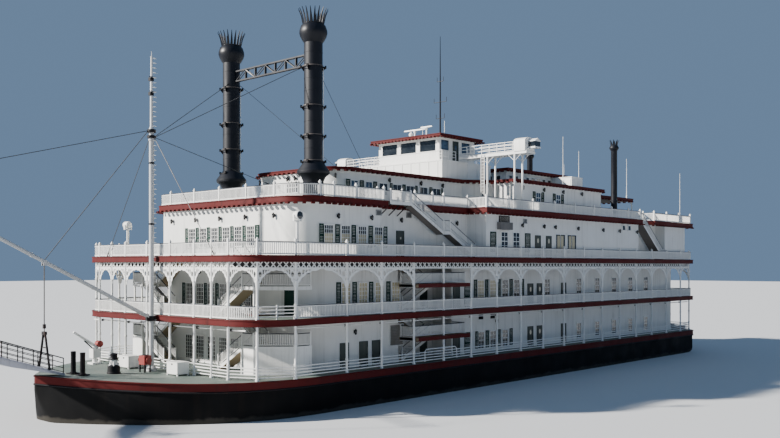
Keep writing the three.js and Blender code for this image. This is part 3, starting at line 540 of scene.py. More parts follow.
def repeated(name, tree, base, unit, finish, slot, replaces=(), smooth=None, **values):
    """Makes one piece by repeating a unit shape with one of the trees."""
    unit_object = bpy.data.objects.new(name + "_unit", unit.mesh(name + "_unit"))
    holder = bpy.data.objects.new(name + "_base", base)
    for item in (unit_object, holder):
        bpy.context.scene.collection.objects.link(item)
    modifier = holder.modifiers.new("repeat", "NODES")
    modifier.node_group = tree.tree
    modifier[tree.names["Unit"]] = unit_object
    modifier[tree.names["Finish"]] = finish
    for label, value in values.items():
        modifier[tree.names[label]] = value
    bpy.context.view_layer.update()
    graph = bpy.context.evaluated_depsgraph_get()
    mesh = bpy.data.meshes.new_from_object(holder.evaluated_get(graph))
    mesh.name = name
    for item in (unit_object, holder):
        bpy.data.objects.remove(item)
    return piece(name, mesh, (), replaces=replaces, smooth=smooth)


def at_places(name, places, unit, finish, slot="house_white", replaces=(), smooth=None):
    return repeated(name, AT_PLACES, base_points(places), unit, finish, slot, replaces, smooth)


def along_paths(name, paths, step, unit, finish, slot="house_white"):
    return repeated(name, ALONG_PATH, base_paths(paths), unit, finish, slot, Step=step * M)


# Shader node groups for the marks that several finishes share


def shader_group(name, inputs, outputs):
    """A node group with float inputs after its Vector, and float outputs."""
    tree = bpy.data.node_groups.new(name, "ShaderNodeTree")
    tree.interface.new_socket("Vector", in_out="INPUT", socket_type="NodeSocketVector")
    for label, value in inputs:
        socket = tree.interface.new_socket(label, in_out="INPUT", socket_type="NodeSocketFloat")
        socket.default_value = value
    for label in outputs:
        tree.interface.new_socket(label, in_out="OUTPUT", socket_type="NodeSocketFloat")
    source = tree.nodes.new("NodeGroupInput")
    return Nodes(tree), source.outputs, tree.nodes.new("NodeGroupOutput").inputs


def weather_group():
    """Masks for rain streaks, broad patches, flaked spots and a fine grain, from Object coordinates."""
    inputs = [("Streak Width", 1.0), ("Patch Size", 1.0), ("Flake Share", 0.3)]
    outputs = ("Streaks", "Patches", "Flakes", "Grain")
    nodes, given, result = shader_group("Weather marks", inputs, outputs)
    wide = nodes.scaled(given["Vector"], given["Streak Width"])
    runs = nodes.noise(nodes.stretched(wide, (26, 26, 1.6)), 1.0, 4.0)
    breaks = nodes.noise(given["Vector"], 3.0, 2.0)
    streaks = nodes.math("MULTIPLY", nodes.ramp(runs, 0.5, 0.72), nodes.ramp(breaks, 0.38, 0.6))
    nodes.link(streaks, result["Streaks"])
    broad = nodes.scaled(given["Vector"], given["Patch Size"])
    nodes.link(nodes.ramp(nodes.noise(broad, 4.0, 5.0), 0.35, 0.7), result["Patches"])
    spots = nodes.noise(given["Vector"], 55.0, 6.0, 0.65)
    above = nodes.math("SUBTRACT", spots, nodes.math("SUBTRACT", 0.82, given["Flake Share"]))
    nodes.link(nodes.ramp(above, 0.0, 0.03), result["Flakes"])
    nodes.link(nodes.noise(given["Vector"], 220.0, 2.0), result["Grain"])
    return nodes.tree


def seam_group():
    """Thin lines between boards or plates, and a tone for each board."""
    inputs = [("Board X", 0.0), ("Board Y", 1.0), ("Board Z", 0.0), ("Width", 0.03), ("Gap", 0.06)]
    nodes, given, result = shader_group("Board seams", inputs, ("Seams", "Tone"))
    way = nodes.node("CombineXYZ")
    for axis in "XYZ":
        nodes.link(given["Board " + axis], way.inputs[axis])
    across = nodes.node("VectorMath", operation="DOT_PRODUCT")
    nodes.link(given["Vector"], across.inputs[0])
    nodes.link(way.outputs[0], across.inputs[1])
    steps = nodes.math("DIVIDE", across.outputs["Value"], given["Width"])
    middle = nodes.math("ABSOLUTE", nodes.math("SUBTRACT", nodes.math("FRACT", steps), 0.5))
    edge = nodes.math("SUBTRACT", 0.5, given["Gap"])
    nodes.link(nodes.ramp(nodes.math("SUBTRACT", middle, edge), 0.0, 0.02), result["Seams"])
    board = nodes.node("TexWhiteNoise", noise_dimensions="1D")
    nodes.link(nodes.math("FLOOR", steps), board.inputs["W"])
    nodes.link(board.outputs["Value"], result["Tone"])
    return nodes.tree


WEATHER = weather_group()
SEAMS = seam_group()


# Finishes


class Finish(Nodes):
    """A material on Object coordinates with one Principled shader."""

    def __init__(self, name, roughness, metallic=0.0):
        self.material = bpy.data.materials.new(name)
        self.material.use_nodes = True
        super().__init__(self.material.node_tree)
        self.shader = self.tree.nodes["Principled BSDF"]
        self.fixed("Roughness", roughness)
        self.fixed("Metallic", metallic)
        self.place = self.node("TexCoord").outputs["Object"]

    def fixed(self, label, value):
        self.shader.inputs[label].default_value = value

    def coat(self, weight, roughness):
        self.fixed("Coat Weight", weight)
        self.fixed("Coat Roughness", roughness)

    def group(self, tree, **values):
        made = self.node("Group")
        made.node_tree = tree
        self.link(self.place, made.inputs["Vector"])
        for label, value in values.items():
            made.inputs[label.replace("_", " ")].default_value = value
        return made.outputs

    def colour(self, value):
        self.link(value, self.shader.inputs["Base Color"])

    def rough(self, mask, low, high):
        self.link(self.ramp(mask, 0.0, 1.0, low, high), self.shader.inputs["Roughness"])

    def bump(self, height, distance, strength=0.5):
        made = self.node("Bump")
        made.inputs["Strength"].default_value = strength
        made.inputs["Distance"].default_value = distance
        self.link(height, made.inputs["Height"])
        self.link(made.outputs[0], self.shader.inputs["Normal"])


def paint(name, base, stain, faded, streaks=0.5, patches=0.5, flakes=0.0, under=(0.2, 0.1, 0.06),
          roughness=0.5, width=1.0, boards=None, board_tone=0.1, shine=0.4):
    """Weathered paint: faded patches, streaks, flakes and, if wanted, board seams."""
    finish = Finish(name, roughness)
    finish.fixed("Specular IOR Level", shine)
    marks = finish.group(WEATHER, Streak_Width=width, Flake_Share=flakes)
    colour = finish.mix(marks["Patches"], base, faded, patches)
    colour = finish.mix(marks["Streaks"], colour, stain, streaks)
    height = marks["Grain"]
    if flakes:
        colour = finish.mix(marks["Flakes"], colour, under)
        height = finish.math("SUBTRACT", height, marks["Flakes"])
    if boards:
        way, board_width, gap = boards
        turns = {"Board_" + axis: part for axis, part in zip("XYZ", way)}
        lines = finish.group(SEAMS, **turns, Width=board_width, Gap=gap)
        colour = finish.mix(lines["Tone"], colour, faded, board_tone)
        colour = finish.mix(lines["Seams"], colour, stain, 0.7)
        height = finish.math("SUBTRACT", height, finish.math("MULTIPLY", lines["Seams"], 3.0))
    finish.colour(colour)
    finish.rough(marks["Patches"], roughness - 0.1, roughness + 0.15)
    finish.bump(height, 0.0006)
    return finish.material


def glass(name, dark, light, tint=0.5):
    """Window glass seen from outside, which holds a vague picture of the room or a blind."""
    finish = Finish(name, 0.08)
    room = finish.noise(finish.stretched(finish.place, (3, 3, 9)), 4.0, 2.0)
    finish.colour(finish.mix(finish.ramp(room, 0.35, 0.65, 0.0, tint), dark, light))
    finish.coat(0.6, 0.03)
    return finish.material


def curtain():
    """A cream curtain in folds behind glass; the folds are drawn as bands of painted shade."""
    finish = Finish("curtain_behind_glass", 0.35)
    folds = finish.node("TexWave", wave_type="BANDS", bands_direction="DIAGONAL")
    folds.inputs["Scale"].default_value = 30.0
    folds.inputs["Distortion"].default_value = 1.2
    finish.link(finish.stretched(finish.place, (1, 1, 0.02)), folds.inputs["Vector"])
    shade = finish.ramp(folds.outputs["Fac"], 0.0, 1.0, 0.0, 0.8)
    finish.colour(finish.mix(shade, (0.58, 0.5, 0.3), (0.3, 0.24, 0.13)))
    finish.coat(0.7, 0.04)
    return finish.material


def metal(name, base, worn, roughness, metallic):
    """Bare or galvanized metal with dull patches."""
    finish = Finish(name, roughness, metallic)
    marks = finish.group(WEATHER, Patch_Size=3.0)
    finish.colour(finish.mix(marks["Patches"], base, worn))
    finish.rough(marks["Grain"], roughness - 0.1, roughness + 0.2)
    finish.bump(marks["Grain"], 0.0003, 0.3)
    return finish.material


def hull_paint():
    """Black hull paint with rust runs, dull plates and a pale scum line over the waterline."""
    finish = Finish("black_hull_paint", 0.5)
    finish.fixed("Specular IOR Level", 0.12)
    marks = finish.group(WEATHER, Streak_Width=0.7, Flake_Share=0.08)
    colour = finish.mix(marks["Patches"], (0.0015, 0.0016, 0.002), (0.004, 0.004, 0.004), 0.6)
    colour = finish.mix(marks["Streaks"], colour, (0.012, 0.008, 0.006), 0.5)
    colour = finish.mix(marks["Flakes"], colour, (0.03, 0.014, 0.009))
    height = finish.node("SeparateXYZ")
    finish.link(finish.place, height.inputs[0])
    wave = finish.ramp(finish.noise(finish.place, 7.0, 5.0), 0.3, 0.7, -0.018, 0.018)
    level = finish.math("ADD", height.outputs["Z"], wave)
    scum_top = WATERLINE * M + 0.04
    scum = finish.ramp(level, scum_top - 0.018, scum_top, 1.0, 0.0)
    finish.colour(finish.mix(scum, colour, (0.05, 0.045, 0.037), 0.75))
    finish.rough(marks["Patches"], 0.5, 0.75)
    finish.bump(marks["Grain"], 0.0006)
    return finish.material


DIRT = (0.16, 0.12, 0.09)
GREY_STAIN = (0.33, 0.32, 0.29)
RUST = (0.23, 0.08, 0.03)
ACROSS_X = (1.0, 0.0, 0.0)
ACROSS_Y = (0.0, 1.0, 0.0)

WALL = paint("white_wall_paint", (0.8, 0.8, 0.78), GREY_STAIN, (0.7, 0.69, 0.65), 0.35, 0.35,
             roughness=0.55, boards=((0.62, 0.79, 0.0), 0.12, 0.01), board_tone=0.12)
TRIM = paint("white_trim_paint", (0.82, 0.82, 0.8), GREY_STAIN, (0.7, 0.69, 0.65), 0.4, 0.4,
             roughness=0.45, width=2.0)
FASCIA = paint("maroon_fascia_paint", (0.08, 0.006, 0.006), (0.025, 0.008, 0.007), (0.1, 0.014, 0.012),
               0.5, 0.5, flakes=0.1, under=(0.14, 0.06, 0.05), roughness=0.6, shine=0.15)
DECKING = paint("grey_green_deck_paint", (0.1, 0.14, 0.125), DIRT, (0.2, 0.225, 0.2), 0.3, 0.9,
                flakes=0.2, under=(0.2, 0.13, 0.09), roughness=0.7, boards=(ACROSS_Y, 0.03, 0.03))
SOFFIT = paint("cream_soffit_paint", (0.5, 0.46, 0.37), DIRT, (0.38, 0.34, 0.27), 0.2, 0.5,
               roughness=0.6, boards=(ACROSS_Y, 0.04, 0.05))
ROOFING = paint("roof_membrane", (0.4, 0.41, 0.4), DIRT, (0.5, 0.5, 0.47), 0.1, 0.8, roughness=0.8)
HULL_PAINT = hull_paint()
STACK_PAINT = paint("black_stack_paint", (0.002, 0.003, 0.007), (0.012, 0.011, 0.012),
                    (0.005, 0.007, 0.013), 0.5, 0.6, flakes=0.05, under=(0.03, 0.018, 0.014),
                    roughness=0.5, width=1.5, shine=0.3)
IRON = paint("black_iron_paint", (0.006, 0.006, 0.008), RUST, (0.015, 0.014, 0.016), 0.12, 0.4,
             flakes=0.03, under=RUST, roughness=0.55, shine=0.2)
RED_MACHINE = paint("red_machine_paint", (0.2, 0.012, 0.01), DIRT, (0.27, 0.04, 0.03), 0.4, 0.5,
                    flakes=0.12, under=(0.12, 0.05, 0.03), roughness=0.5)
WHEEL_WOOD = paint("red_bucket_planks", (0.3, 0.035, 0.025), (0.06, 0.05, 0.03), (0.36, 0.1, 0.07),
                   0.7, 0.7, flakes=0.25, under=(0.16, 0.12, 0.08), roughness=0.6)
SHUTTER = paint("green_shutter_paint", (0.003, 0.03, 0.021), (0.006, 0.014, 0.012), (0.008, 0.05, 0.036),
                0.3, 0.5, roughness=0.55, shine=0.2)
DOOR = paint("dark_door_paint", (0.02, 0.035, 0.03), DIRT, (0.05, 0.06, 0.05), 0.3, 0.4, roughness=0.4)
RAIL_CAP = paint("dark_rail_cap", (0.03, 0.034, 0.045), DIRT, (0.08, 0.085, 0.1), 0.2, 0.6, roughness=0.4)
# Near-black paint that stands for painted shade where light doesn't reach: the band inside the gallery
# lattice and the aft canopy's underside. Its stain and faded patches are dirt and wear.
SHADOW_PAINT = paint("sooty_beam_paint", (0.035, 0.035, 0.04), DIRT, (0.07, 0.065, 0.06), 0.4, 0.5,
                     roughness=0.8)
STEP_PAINT = paint("grey_brown_step_paint", (0.14, 0.125, 0.115), DIRT, (0.22, 0.2, 0.18), 0.3, 0.6,
                   roughness=0.7, boards=(ACROSS_X, 0.026, 0.1))
STAIR_WOOD = paint("tan_stair_soffit", (0.3, 0.22, 0.13), DIRT, (0.38, 0.3, 0.2), 0.2, 0.6, roughness=0.7)
DARK_GLASS = glass("dark_window_glass", (0.006, 0.009, 0.013), (0.035, 0.042, 0.048))
BLUE_GLASS = glass("blue_window_glass", (0.012, 0.03, 0.06), (0.05, 0.1, 0.17), 0.8)
LAMP_GLASS = glass("lamp_glass", (0.55, 0.5, 0.38), (0.75, 0.7, 0.55))
CURTAIN = curtain()
WORN_STEEL = metal("worn_grey_brown_steel", (0.2, 0.17, 0.15), (0.12, 0.1, 0.09), 0.5, 0.4)
WIRE = metal("dark_wire_rope", (0.06, 0.06, 0.065), (0.11, 0.1, 0.09), 0.5, 0.5)
ALLOY = metal("dull_stage_alloy", (0.42, 0.43, 0.44), (0.3, 0.3, 0.29), 0.42, 0.8)
STAGE_GREY = paint("lilac_grey_stage_paint", (0.5, 0.5, 0.55), DIRT, (0.38, 0.38, 0.42), 0.4, 0.6,
                   flakes=0.15, under=(0.2, 0.12, 0.08), roughness=0.5)
MESH_SCREEN = metal("expanded_screen", (0.36, 0.35, 0.33), (0.22, 0.2, 0.17), 0.6, 0.2)
# Dull grey for the fan screens' backs and the louvre boxes; behind the wing ladders it stands for painted
# shade.
SCREEN_BACK_AND_SHADE = metal("dull_screen_back", (0.13, 0.13, 0.135), (0.2, 0.19, 0.18), 0.7, 0.1)
SPAR = paint("grey_white_spar_paint", (0.5, 0.51, 0.52), GREY_STAIN, (0.4, 0.4, 0.39), 0.5, 0.5,
             flakes=0.08, under=(0.2, 0.14, 0.1), roughness=0.5)


# Outlines in plan, anticlockwise


def arc(centre, radius, start, end, steps=14):
    """Points of an arc between two angles in degrees."""
    turns = [start + (end - start) * i / steps for i in range(steps + 1)]
    return [polar(centre, radius, math.radians(turn)) for turn in turns]


def opposite(port):
    """The starboard image of a port path, still anticlockwise."""
    return [(x, -y) for x, y in reversed(port)]


def both_sides(port):
    """A whole outline from its port half, which runs from the bow aft."""
    return opposite(port) + port


def deck_half(inset=0.0):
    """Port half of the outline of decks 2 and 3, from the front edge aft."""
    radius = DECK_CORNER - inset
    centre = (DECK_FRONT - DECK_CORNER, HALF_BEAM - DECK_CORNER)
    aft = DECK_AFT + inset
    chamfer = 0.6 - 0.4 * inset
    tail = [(aft + chamfer, HALF_BEAM - inset), (aft, HALF_BEAM - inset - chamfer)]
    return arc(centre, radius, 0, 90) + tail


def deck_4_half(inset=0.0):
    """Port half of the outline of deck 4's fore part, with its two steps."""
    centre = (DECK_4_FRONT - DECK_4_CORNER, FORE_HALF - DECK_4_CORNER)
    points = arc(centre, DECK_4_CORNER - inset, 0, 90)
    points += [(STEP_X + inset, FORE_HALF - inset), (STEP_X + inset, WAIST_HALF - inset)]
    return points + [(FLARE_X - inset, WAIST_HALF - inset), (FLARE_X - inset, AFT_HALF - inset)]


def deck_4_tail(inset=0.0):
    """The rest of deck 4's port outline, from the stair notch aft."""
    front, aft, half = NOTCH
    points = [(front + inset, AFT_HALF - inset), (front + inset, half - inset)]
    points += [(aft - inset, half - inset), (aft - inset, AFT_HALF - inset)]
    return points + [(DECK_AFT + inset, AFT_HALF - inset)]


def house_half(inset=0.0):
    """Port half of the outline of houses 1 and 2, with the stair recess."""
    front, aft, depth = RECESS
    half = HOUSE_HALF - inset
    points = arc(HOUSE_CENTRE, HOUSE_CORNER - inset, 0, 90, 18)
    points += [(front + inset, half), (front + inset, half - depth), (aft - inset, half - depth)]
    points += [(aft - inset, half), (HOUSE_AFT + 0.6, half), (HOUSE_AFT + inset, half - 0.6)]
    return points


def house_3_half():
    """Port half of the outline of house 3."""
    inset = HOUSE_3_INSET
    front, _, half = NOTCH
    points = deck_4_half(inset) + [(front + inset, AFT_HALF - inset), (front + inset, half - 0.2)]
    points += [(HOUSE_3_NOTCH_AFT, half - 0.2), (HOUSE_3_NOTCH_AFT, HOUSE_3_AFT)]
    return points + [(HOUSE_AFT, HOUSE_3_AFT)]


def texas_half(out=0.0):
    """Port half of the outline of the texas or, with an overhang, of its roof."""
    centre = (TEXAS_FRONT - TEXAS_CORNER, TEXAS_FORE - TEXAS_CORNER)
    points = arc(centre, TEXAS_CORNER + out, 0, 90, 10)
    start, end, half = TEXAS_FLARE
    points += [(start + out, TEXAS_FORE + out), (end + out, half + out), (end + out, TEXAS_AFT + out)]
    return points + [(TEXAS_END - out, TEXAS_AFT + out)]


def hull_half(x, half):
    share = max(0.0, x - SHOULDER) / (STEM - SHOULDER)
    return max(0.1, half * (1 - share**BOW_POWER))


def shell_half(x, half):
    """Half width of the hull at a station, a little narrower at the transom."""
    return hull_half(x, half) - (0.7 if x == TRANSOM else 0)


def sheer(x):
    return SHEER_RISE * (max(0.0, x - SHEER_START) / (STEM - SHEER_START)) ** 2


# Stations of the hull from the bow aft
STATIONS = [STEM - 0.02, 43.1, 42.8, 42.4, 41.9, 41.3, 40.6, 39.8, 38.8, 37.6, 36.2, 34.6]
STATIONS += [33.0, 31.0, 29.0, 27.0, SHOULDER, 20.0, 10.0, 0.0, -10.0, -20.0, -30.0, -34.0]
STATIONS += [-36.0, -38.0, -40.0, -41.6, TRANSOM + 1, TRANSOM]


def keel(x):
    """Height of the hull's bottom: a spoon bow and a raked stern."""
    bow, bow_rise, power = SPOON
    stern, stern_rise = RAKE
    if x > bow:
        return bow_rise * ((x - bow) / (STEM - bow)) ** power
    return stern_rise * max(0.0, stern - x) / (stern - TRANSOM)


def hull_outline(half):
    port = [(x, hull_half(x, half)) for x in STATIONS[:-1]] + [(TRANSOM, half - 0.8)]
    return both_sides(port)


def half_round(out, low, high):
    """Profile of a half-round moulding that stands out from a wall."""
    middle, radius = (low + high) / 2, (high - low) / 2
    turns = [math.radians(30 * i - 90) for i in range(7)]
    rows = [(out * math.cos(a), middle + radius * math.sin(a)) for a in turns]
    return [(-0.05, low)] + rows + [(-0.05, high)]


# Hull and main deck


def hull():
    shape = Shape()
    rings = []
    for x in STATIONS:
        half = shell_half(x, HALF_BEAM - 0.1)
        top = DECK_1 - GUARD + sheer(x)
        low = keel(x)
        radius = min(BILGE, (top - low) * 0.4, half * 0.5)
        turns = [math.radians(angle) for angle in (0, 30, 60, 90)]
        port = [(half, top)]
        port += [(half - radius * (1 - math.cos(a)), low + radius * (1 - math.sin(a))) for a in turns]
        rings.append(on_axis(port + [(-y, z) for y, z in reversed(port)], x, "x"))
    shape.loft(rings)
    piece("hull_shell", shape, [HULL_PAINT], replaces=["hull"], smooth=30)


def main_deck():
    shape = Shape()
    rings = []
    for x in STATIONS:
        half = shell_half(x, HALF_BEAM)
        top = DECK_1 + sheer(x)
        low = top - GUARD
        rings.append([(x, half, low), (x, half, top), (x, -half, top), (x, -half, low)])
    shape.loft(rings, edge_finishes=(0, 1, 0, 0))
    outline = hull_outline(HALF_BEAM)
    shape.band(outline, half_round(0.08, DECK_1 - 0.13, DECK_1 - 0.01), lift=sheer, finish=0)
    shape.band(outline, half_round(0.08, DECK_1 - GUARD, DECK_1 - GUARD + 0.14), lift=sheer, finish=2)
    finishes = [FASCIA, DECKING, IRON]
    piece("main_deck_and_guard", shape, finishes, replaces=["main_deck"], smooth=30)


# Upper decks


WELLS = [oblong(26.85, 28.25, 4.15, 7.3), oblong(10.0, 14.25, 8.65, 9.6)]
WELLS += [oblong(26.85, 28.25, -7.3, -4.15), oblong(10.0, 14.25, -9.6, -8.65)]

# Section of a deck's edge below its level: cap, fascia board and lower bead
EDGE_SECTION = [(-0.1, 0.0), (0.05, 0.0), (0.07, -0.03), (0.07, -0.08), (0.02, -0.1), (0.02, -0.42)]
EDGE_SECTION += [(0.05, -0.44), (0.05, -0.5), (-0.02, -0.53), (-0.1, -0.53)]


def deck_slab(name, node, level, outline, holes):
    """A deck with its painted top, cream soffit and moulded maroon edge."""
    shape = Shape()
    shape.slab(outline, level - SLAB, level - 0.02, holes, (0, 1, 2))
    shape.band(outline, shifted(EDGE_SECTION, level))
    for hole in holes:
        rim = [(x, y) for x, y in reversed(hole)]
        shape.band(rim, oblong(-0.04, 0.03, level - SLAB, level + 0.08))
    finishes = [FASCIA, DECKING, SOFFIT]
    piece(name, shape, finishes, replaces=[node], smooth=30)


def beams(name, level, places, length):
    """Deck beams that show under an overhanging deck."""
    unit = Shape().box((-length, -0.07, -0.16), (0, 0.07, 0.0))
    rows = [((x, y, level - SLAB), turn, 1.0) for x, y, turn in places]
    at_places(name, rows, unit, SOFFIT)


def decks():
    rim = both_sides(deck_half())
    deck_slab("deck_2_platform", "deck_2", DECK_2, rim, WELLS)
    deck_slab("deck_3_platform", "deck_3", DECK_3, rim, WELLS)
    deck_slab("deck_4_platform", "deck_4", DECK_4, both_sides(deck_4_half() + deck_4_tail()), [])
    ends = [(x, side * 12.9, side * PORT) for x, _ in SIDE_COLUMNS[1:] for side in SIDES]
    fronts = [(32.85, side * y, 0) for _, y in FRONT_COLUMNS for side in SIDES]
    for number, level in ((2, DECK_2), (3, DECK_3)):
        beams(f"deck_{number}_side_beams", level, ends, 2.2)
        beams(f"deck_{number}_front_beams", level, fronts, 3.2)


# Houses


def walls(name, node, half_outline, floor, top):
    """House walls with a plinth and a cornice."""
    outline = both_sides(half_outline)
    shape = Shape().slab(outline, floor + 0.01, top)
    plinth = [(-0.05, 0.01), (0.05, 0.01), (0.05, 0.3), (-0.05, 0.36)]
    cornice = [(-0.05, -0.3), (0.05, -0.24), (0.1, -0.06), (0.1, 0), (-0.05, 0)]
    for level, section in ((floor, plinth), (top, cornice)):
        shape.band(outline, shifted(section, level))
    piece(name, shape, [WALL], replaces=[node], smooth=30)


def houses():
    walls("house_1_walls", "house_1", house_half(), DECK_1, DECK_2 - SLAB - 0.003)
    walls("house_2_walls", "house_2", house_half(), DECK_2, DECK_3 - SLAB - 0.003)
    walls("house_3_walls", "house_3", house_3_half(), DECK_3, DECK_4 - SLAB - 0.003)
    walls("texas_walls", "texas_house", texas_half(), DECK_4, TEXAS_TOP - 0.253)


# Windows, doors and lanterns on the walls. A unit's +x faces outward and z starts at its sill.


def window_frame(width, height, columns, rows):
    """Casing, sill and sash bars of one window."""
    shape = Shape()
    half = width / 2
    for side in (-1, 1):
        shape.block((0.035, side * (half + 0.04), height / 2), (0.07, 0.1, height + 0.02))
    shape.box((0, -half - 0.12, height - 0.02), (0.1, half + 0.12, height + 0.1))
    shape.box((0, -half - 0.12, -0.09), (0.13, half + 0.12, 0.0))
    for i in range(1, columns):
        shape.block((0.045, -half + width * i / columns, height / 2), (0.03, 0.035, height))
    for i in range(1, rows):
        wide = 0.07 if 2 * i == rows else 0.035
        shape.block((0.045, 0, height * i / rows), (0.03, width, wide))
    return shape


def pane(width, height):
    return Shape().box((0.0, -width / 2, 0.0), (0.035, width / 2, height))


def shutter(height, width):
    """A louvred shutter: stiles, rails and slanted slats."""
    shape = Shape()
    half = width / 2
    for side in (-1, 1):
        shape.block((0.045, side * (half - 0.03), height / 2), (0.06, 0.06, height))
    for z in (0.05, height / 2, height - 0.05):
        shape.block((0.045, 0, z), (0.055, width, 0.09))
    slats = int(height / 0.13)
    for i in range(slats):
        z = 0.06 + (height - 0.1) * (i + 0.5) / slats
        slat = [(0.018, 0.035), (0.03, 0.045), (0.065, -0.03), (0.052, -0.04)]
        shape.prism(shifted(slat, z), -half + 0.05, half - 0.05)
    return shape


def door_leaf(width, height):
    """A door with its frame, one lower panel and a handle."""
    half = width / 2
    shape = Shape().box((0, -half, 0), (0.05, half, height))
    for side in (-1, 1):
        shape.box((0.0, side * half - 0.04, 0), (0.09, side * half + 0.04, height))
    shape.box((0, -half - 0.04, height), (0.09, half + 0.04, height + 0.08))
    shape.box((0.05, -half + 0.12, 0.15), (0.065, half - 0.12, 0.85))
    shape.block((0.09, half - 0.12, 1.0), (0.08, 0.05, 0.12))
    return shape


def oval_pane(height):
    """An oval light in a door, with its moulding's thickness."""
    rings = []
    for x, grow in ((0.05, 1.0), (0.075, 1.0), (0.085, 0.85)):
        turns = circle((0, 0), grow, 16)
        rings.append([(x, 0.16 * across, height + 0.26 * up) for across, up in turns])
    return Shape().loft(rings)


def lantern_cage():
    """A carriage lantern on its wall arm: plate, arm, cap, posts and base."""
    shape = Shape().block((0.02, 0, 0), (0.04, 0.12, 0.26))
    shape.rod((0.02, 0, -0.05), (0.18, 0, 0.1), 0.02, 5)
    shape.turned([(0.03, 0.25), (0.05, 0.2), (0.13, 0.13), (0.13, 0.09)], (0.2, 0), 6)
    shape.turned([(0.06, -0.24), (0.09, -0.19), (0.09, -0.1)], (0.2, 0), 6)
    for k in range(3):
        a = math.radians(60 + 120 * k)
        x, y = 0.2 + 0.1 * math.cos(a), 0.1 * math.sin(a)
        shape.post((x, y), -0.14, 0.12, 0.014, 4)
    return shape


def lantern_glass():
    return Shape().turned([(0.07, -0.1), (0.09, 0.09)], (0.2, 0), 6)


def vent_grille(width, height):
    shape = Shape()
    half = width / 2
    for side in (-1, 1):
        shape.block((0.04, side * half, height / 2), (0.08, 0.06, height))
        shape.block((0.04, 0, height / 2 + side * height / 2), (0.08, width + 0.06, 0.06))
    for i in range(6):
        slat = [(0.0, 0.04), (0.02, 0.05), (0.07, -0.02), (0.05, -0.03)]
        shape.prism(shifted(slat, height * (i + 0.5) / 6), -half, half)
    return shape


def on_port(wall, rows, *levels):
    """Places on a port wall and their images to starboard."""
    return [((x, side * wall, z), side * PORT, 1.0) for z in levels for x in rows for side in SIDES]


def on_front(wall, rows, z):
    return [((wall, y, z), 0.0, 1.0) for y in rows]


def both(rows):
    """The rows on both sides of the centreline, in order."""
    return sorted({side * y for y in rows for side in SIDES})


def standing(port, floor):
    """Places on a floor from a list in plan, and their images to starboard."""
    return [((x, side * y, floor), 0.0, 1.0) for x, y in port for side in SIDES]


def windows(name, places, width, height, columns, rows, glazing=DARK_GLASS):
    at_places(name + "_frames", places, window_frame(width, height, columns, rows), TRIM)
    at_places(name + "_panes", places, pane(width, height), glazing)


def louvre_box():
    """A fan's louvre box under a window, with upright slats on its face; the dark grille above it is made
    apart.
    """
    shape = Shape().box((0.0, -1.02, 0.0), (0.5, 1.02, 0.73))
    for i in range(8):
        shape.block((0.51, -0.86 + 0.245 * i, 0.36), (0.04, 0.07, 0.56))
    return shape


def house_3_openings():
    fore = on_port(HOUSE_3_FORE, (23.5, 21.54, 19.55, 17.51), 15.35)
    places = on_front(HOUSE_3_FRONT, both((0.85, 2.55, 4.25)), 15.35) + fore
    windows("house_3_sash_windows", places, 0.95, 1.65, 4, 5)
    blind = Shape().box((0.03, -0.44, 0.02), (0.04, 0.44, 0.95))
    at_places("house_3_blinds", fore, blind, CURTAIN)
    places = on_front(HOUSE_3_FRONT, both((0.0, 1.7, 3.4, 5.1)), 15.2)
    places += on_port(HOUSE_3_FORE, (24.29, 22.5, 20.58, 18.51, 16.65), 15.2)
    at_places("house_3_shutters", places, shutter(1.9, 0.5), SHUTTER, "fittings_black")
    places = on_port(HOUSE_3_AFT, (2.6, -3.45), 15.0)
    at_places("house_3_wide_shutters", places, shutter(2.0, 0.95), SHUTTER, "fittings_black")
    windows("house_3_aft_windows", on_port(HOUSE_3_AFT, (0.69, -1.37), 15.2), 1.1, 1.8, 2, 4)
    wide = on_port(HOUSE_3_AFT, (-9.79, -12.14), 15.0)
    windows("house_3_wide_windows", wide, 1.9, 2.04, 2, 1)
    drapes = Shape().box((0.03, -0.62, 0.05), (0.04, -0.1, 1.9)).box((0.03, 0.1, 0.05), (0.04, 0.62, 1.9))
    at_places("house_3_drapes", wide, drapes, CURTAIN)
    windows("house_3_end_windows", on_port(HOUSE_3_AFT, (-24.1, -25.5), 17.95), 0.62, 0.55, 1, 1)
    doors = on_port(HOUSE_3_AFT, (-5.35, -7.45), DECK_3)
    plain = on_port(HOUSE_3_WAIST, (13.8,), DECK_3)
    at_places("house_3_doors", doors + plain, door_leaf(0.95, 2.3), DOOR, "fittings_black")
    at_places("house_3_door_lights", doors, oval_pane(1.82), LAMP_GLASS)
    small_light = Shape().block((0.055, 0.05, 1.7), (0.03, 0.16, 0.2))
    at_places("waist_door_lights", plain, small_light, LAMP_GLASS)
    vents = on_port(HOUSE_3_FORE, (17.5,), 18.06) + on_port(HOUSE_3_WAIST, (12.6,), 18.06)
    vents += on_port(HOUSE_3_AFT, (-2.96,), 18.0)
    at_places("house_3_vents", vents, vent_grille(0.62, 0.44), ALLOY, "stage_grey")
    grille = on_port(HOUSE_3_AFT, (0.73,), 17.98)
    at_places("house_3_dark_grilles", grille, vent_grille(1.7, 0.62), IRON, "fittings_black")
    places = on_port(HOUSE_3_AFT, (0.9,), 17.24)
    at_places("house_3_louvre_boxes", places, louvre_box(), SCREEN_BACK_AND_SHADE, "stage_grey")


def corner_doors():
    """House 2's dark door in each curved front corner, below the stair landing."""
    turn = math.radians(36)
    x, y = polar(HOUSE_CENTRE, HOUSE_CORNER, turn)
    places = [((x, side * y, DECK_2), side * turn, 1.0) for side in SIDES]
    at_places("house_2_corner_doors", places, door_leaf(0.9, 2.3), SHUTTER, "fittings_black")


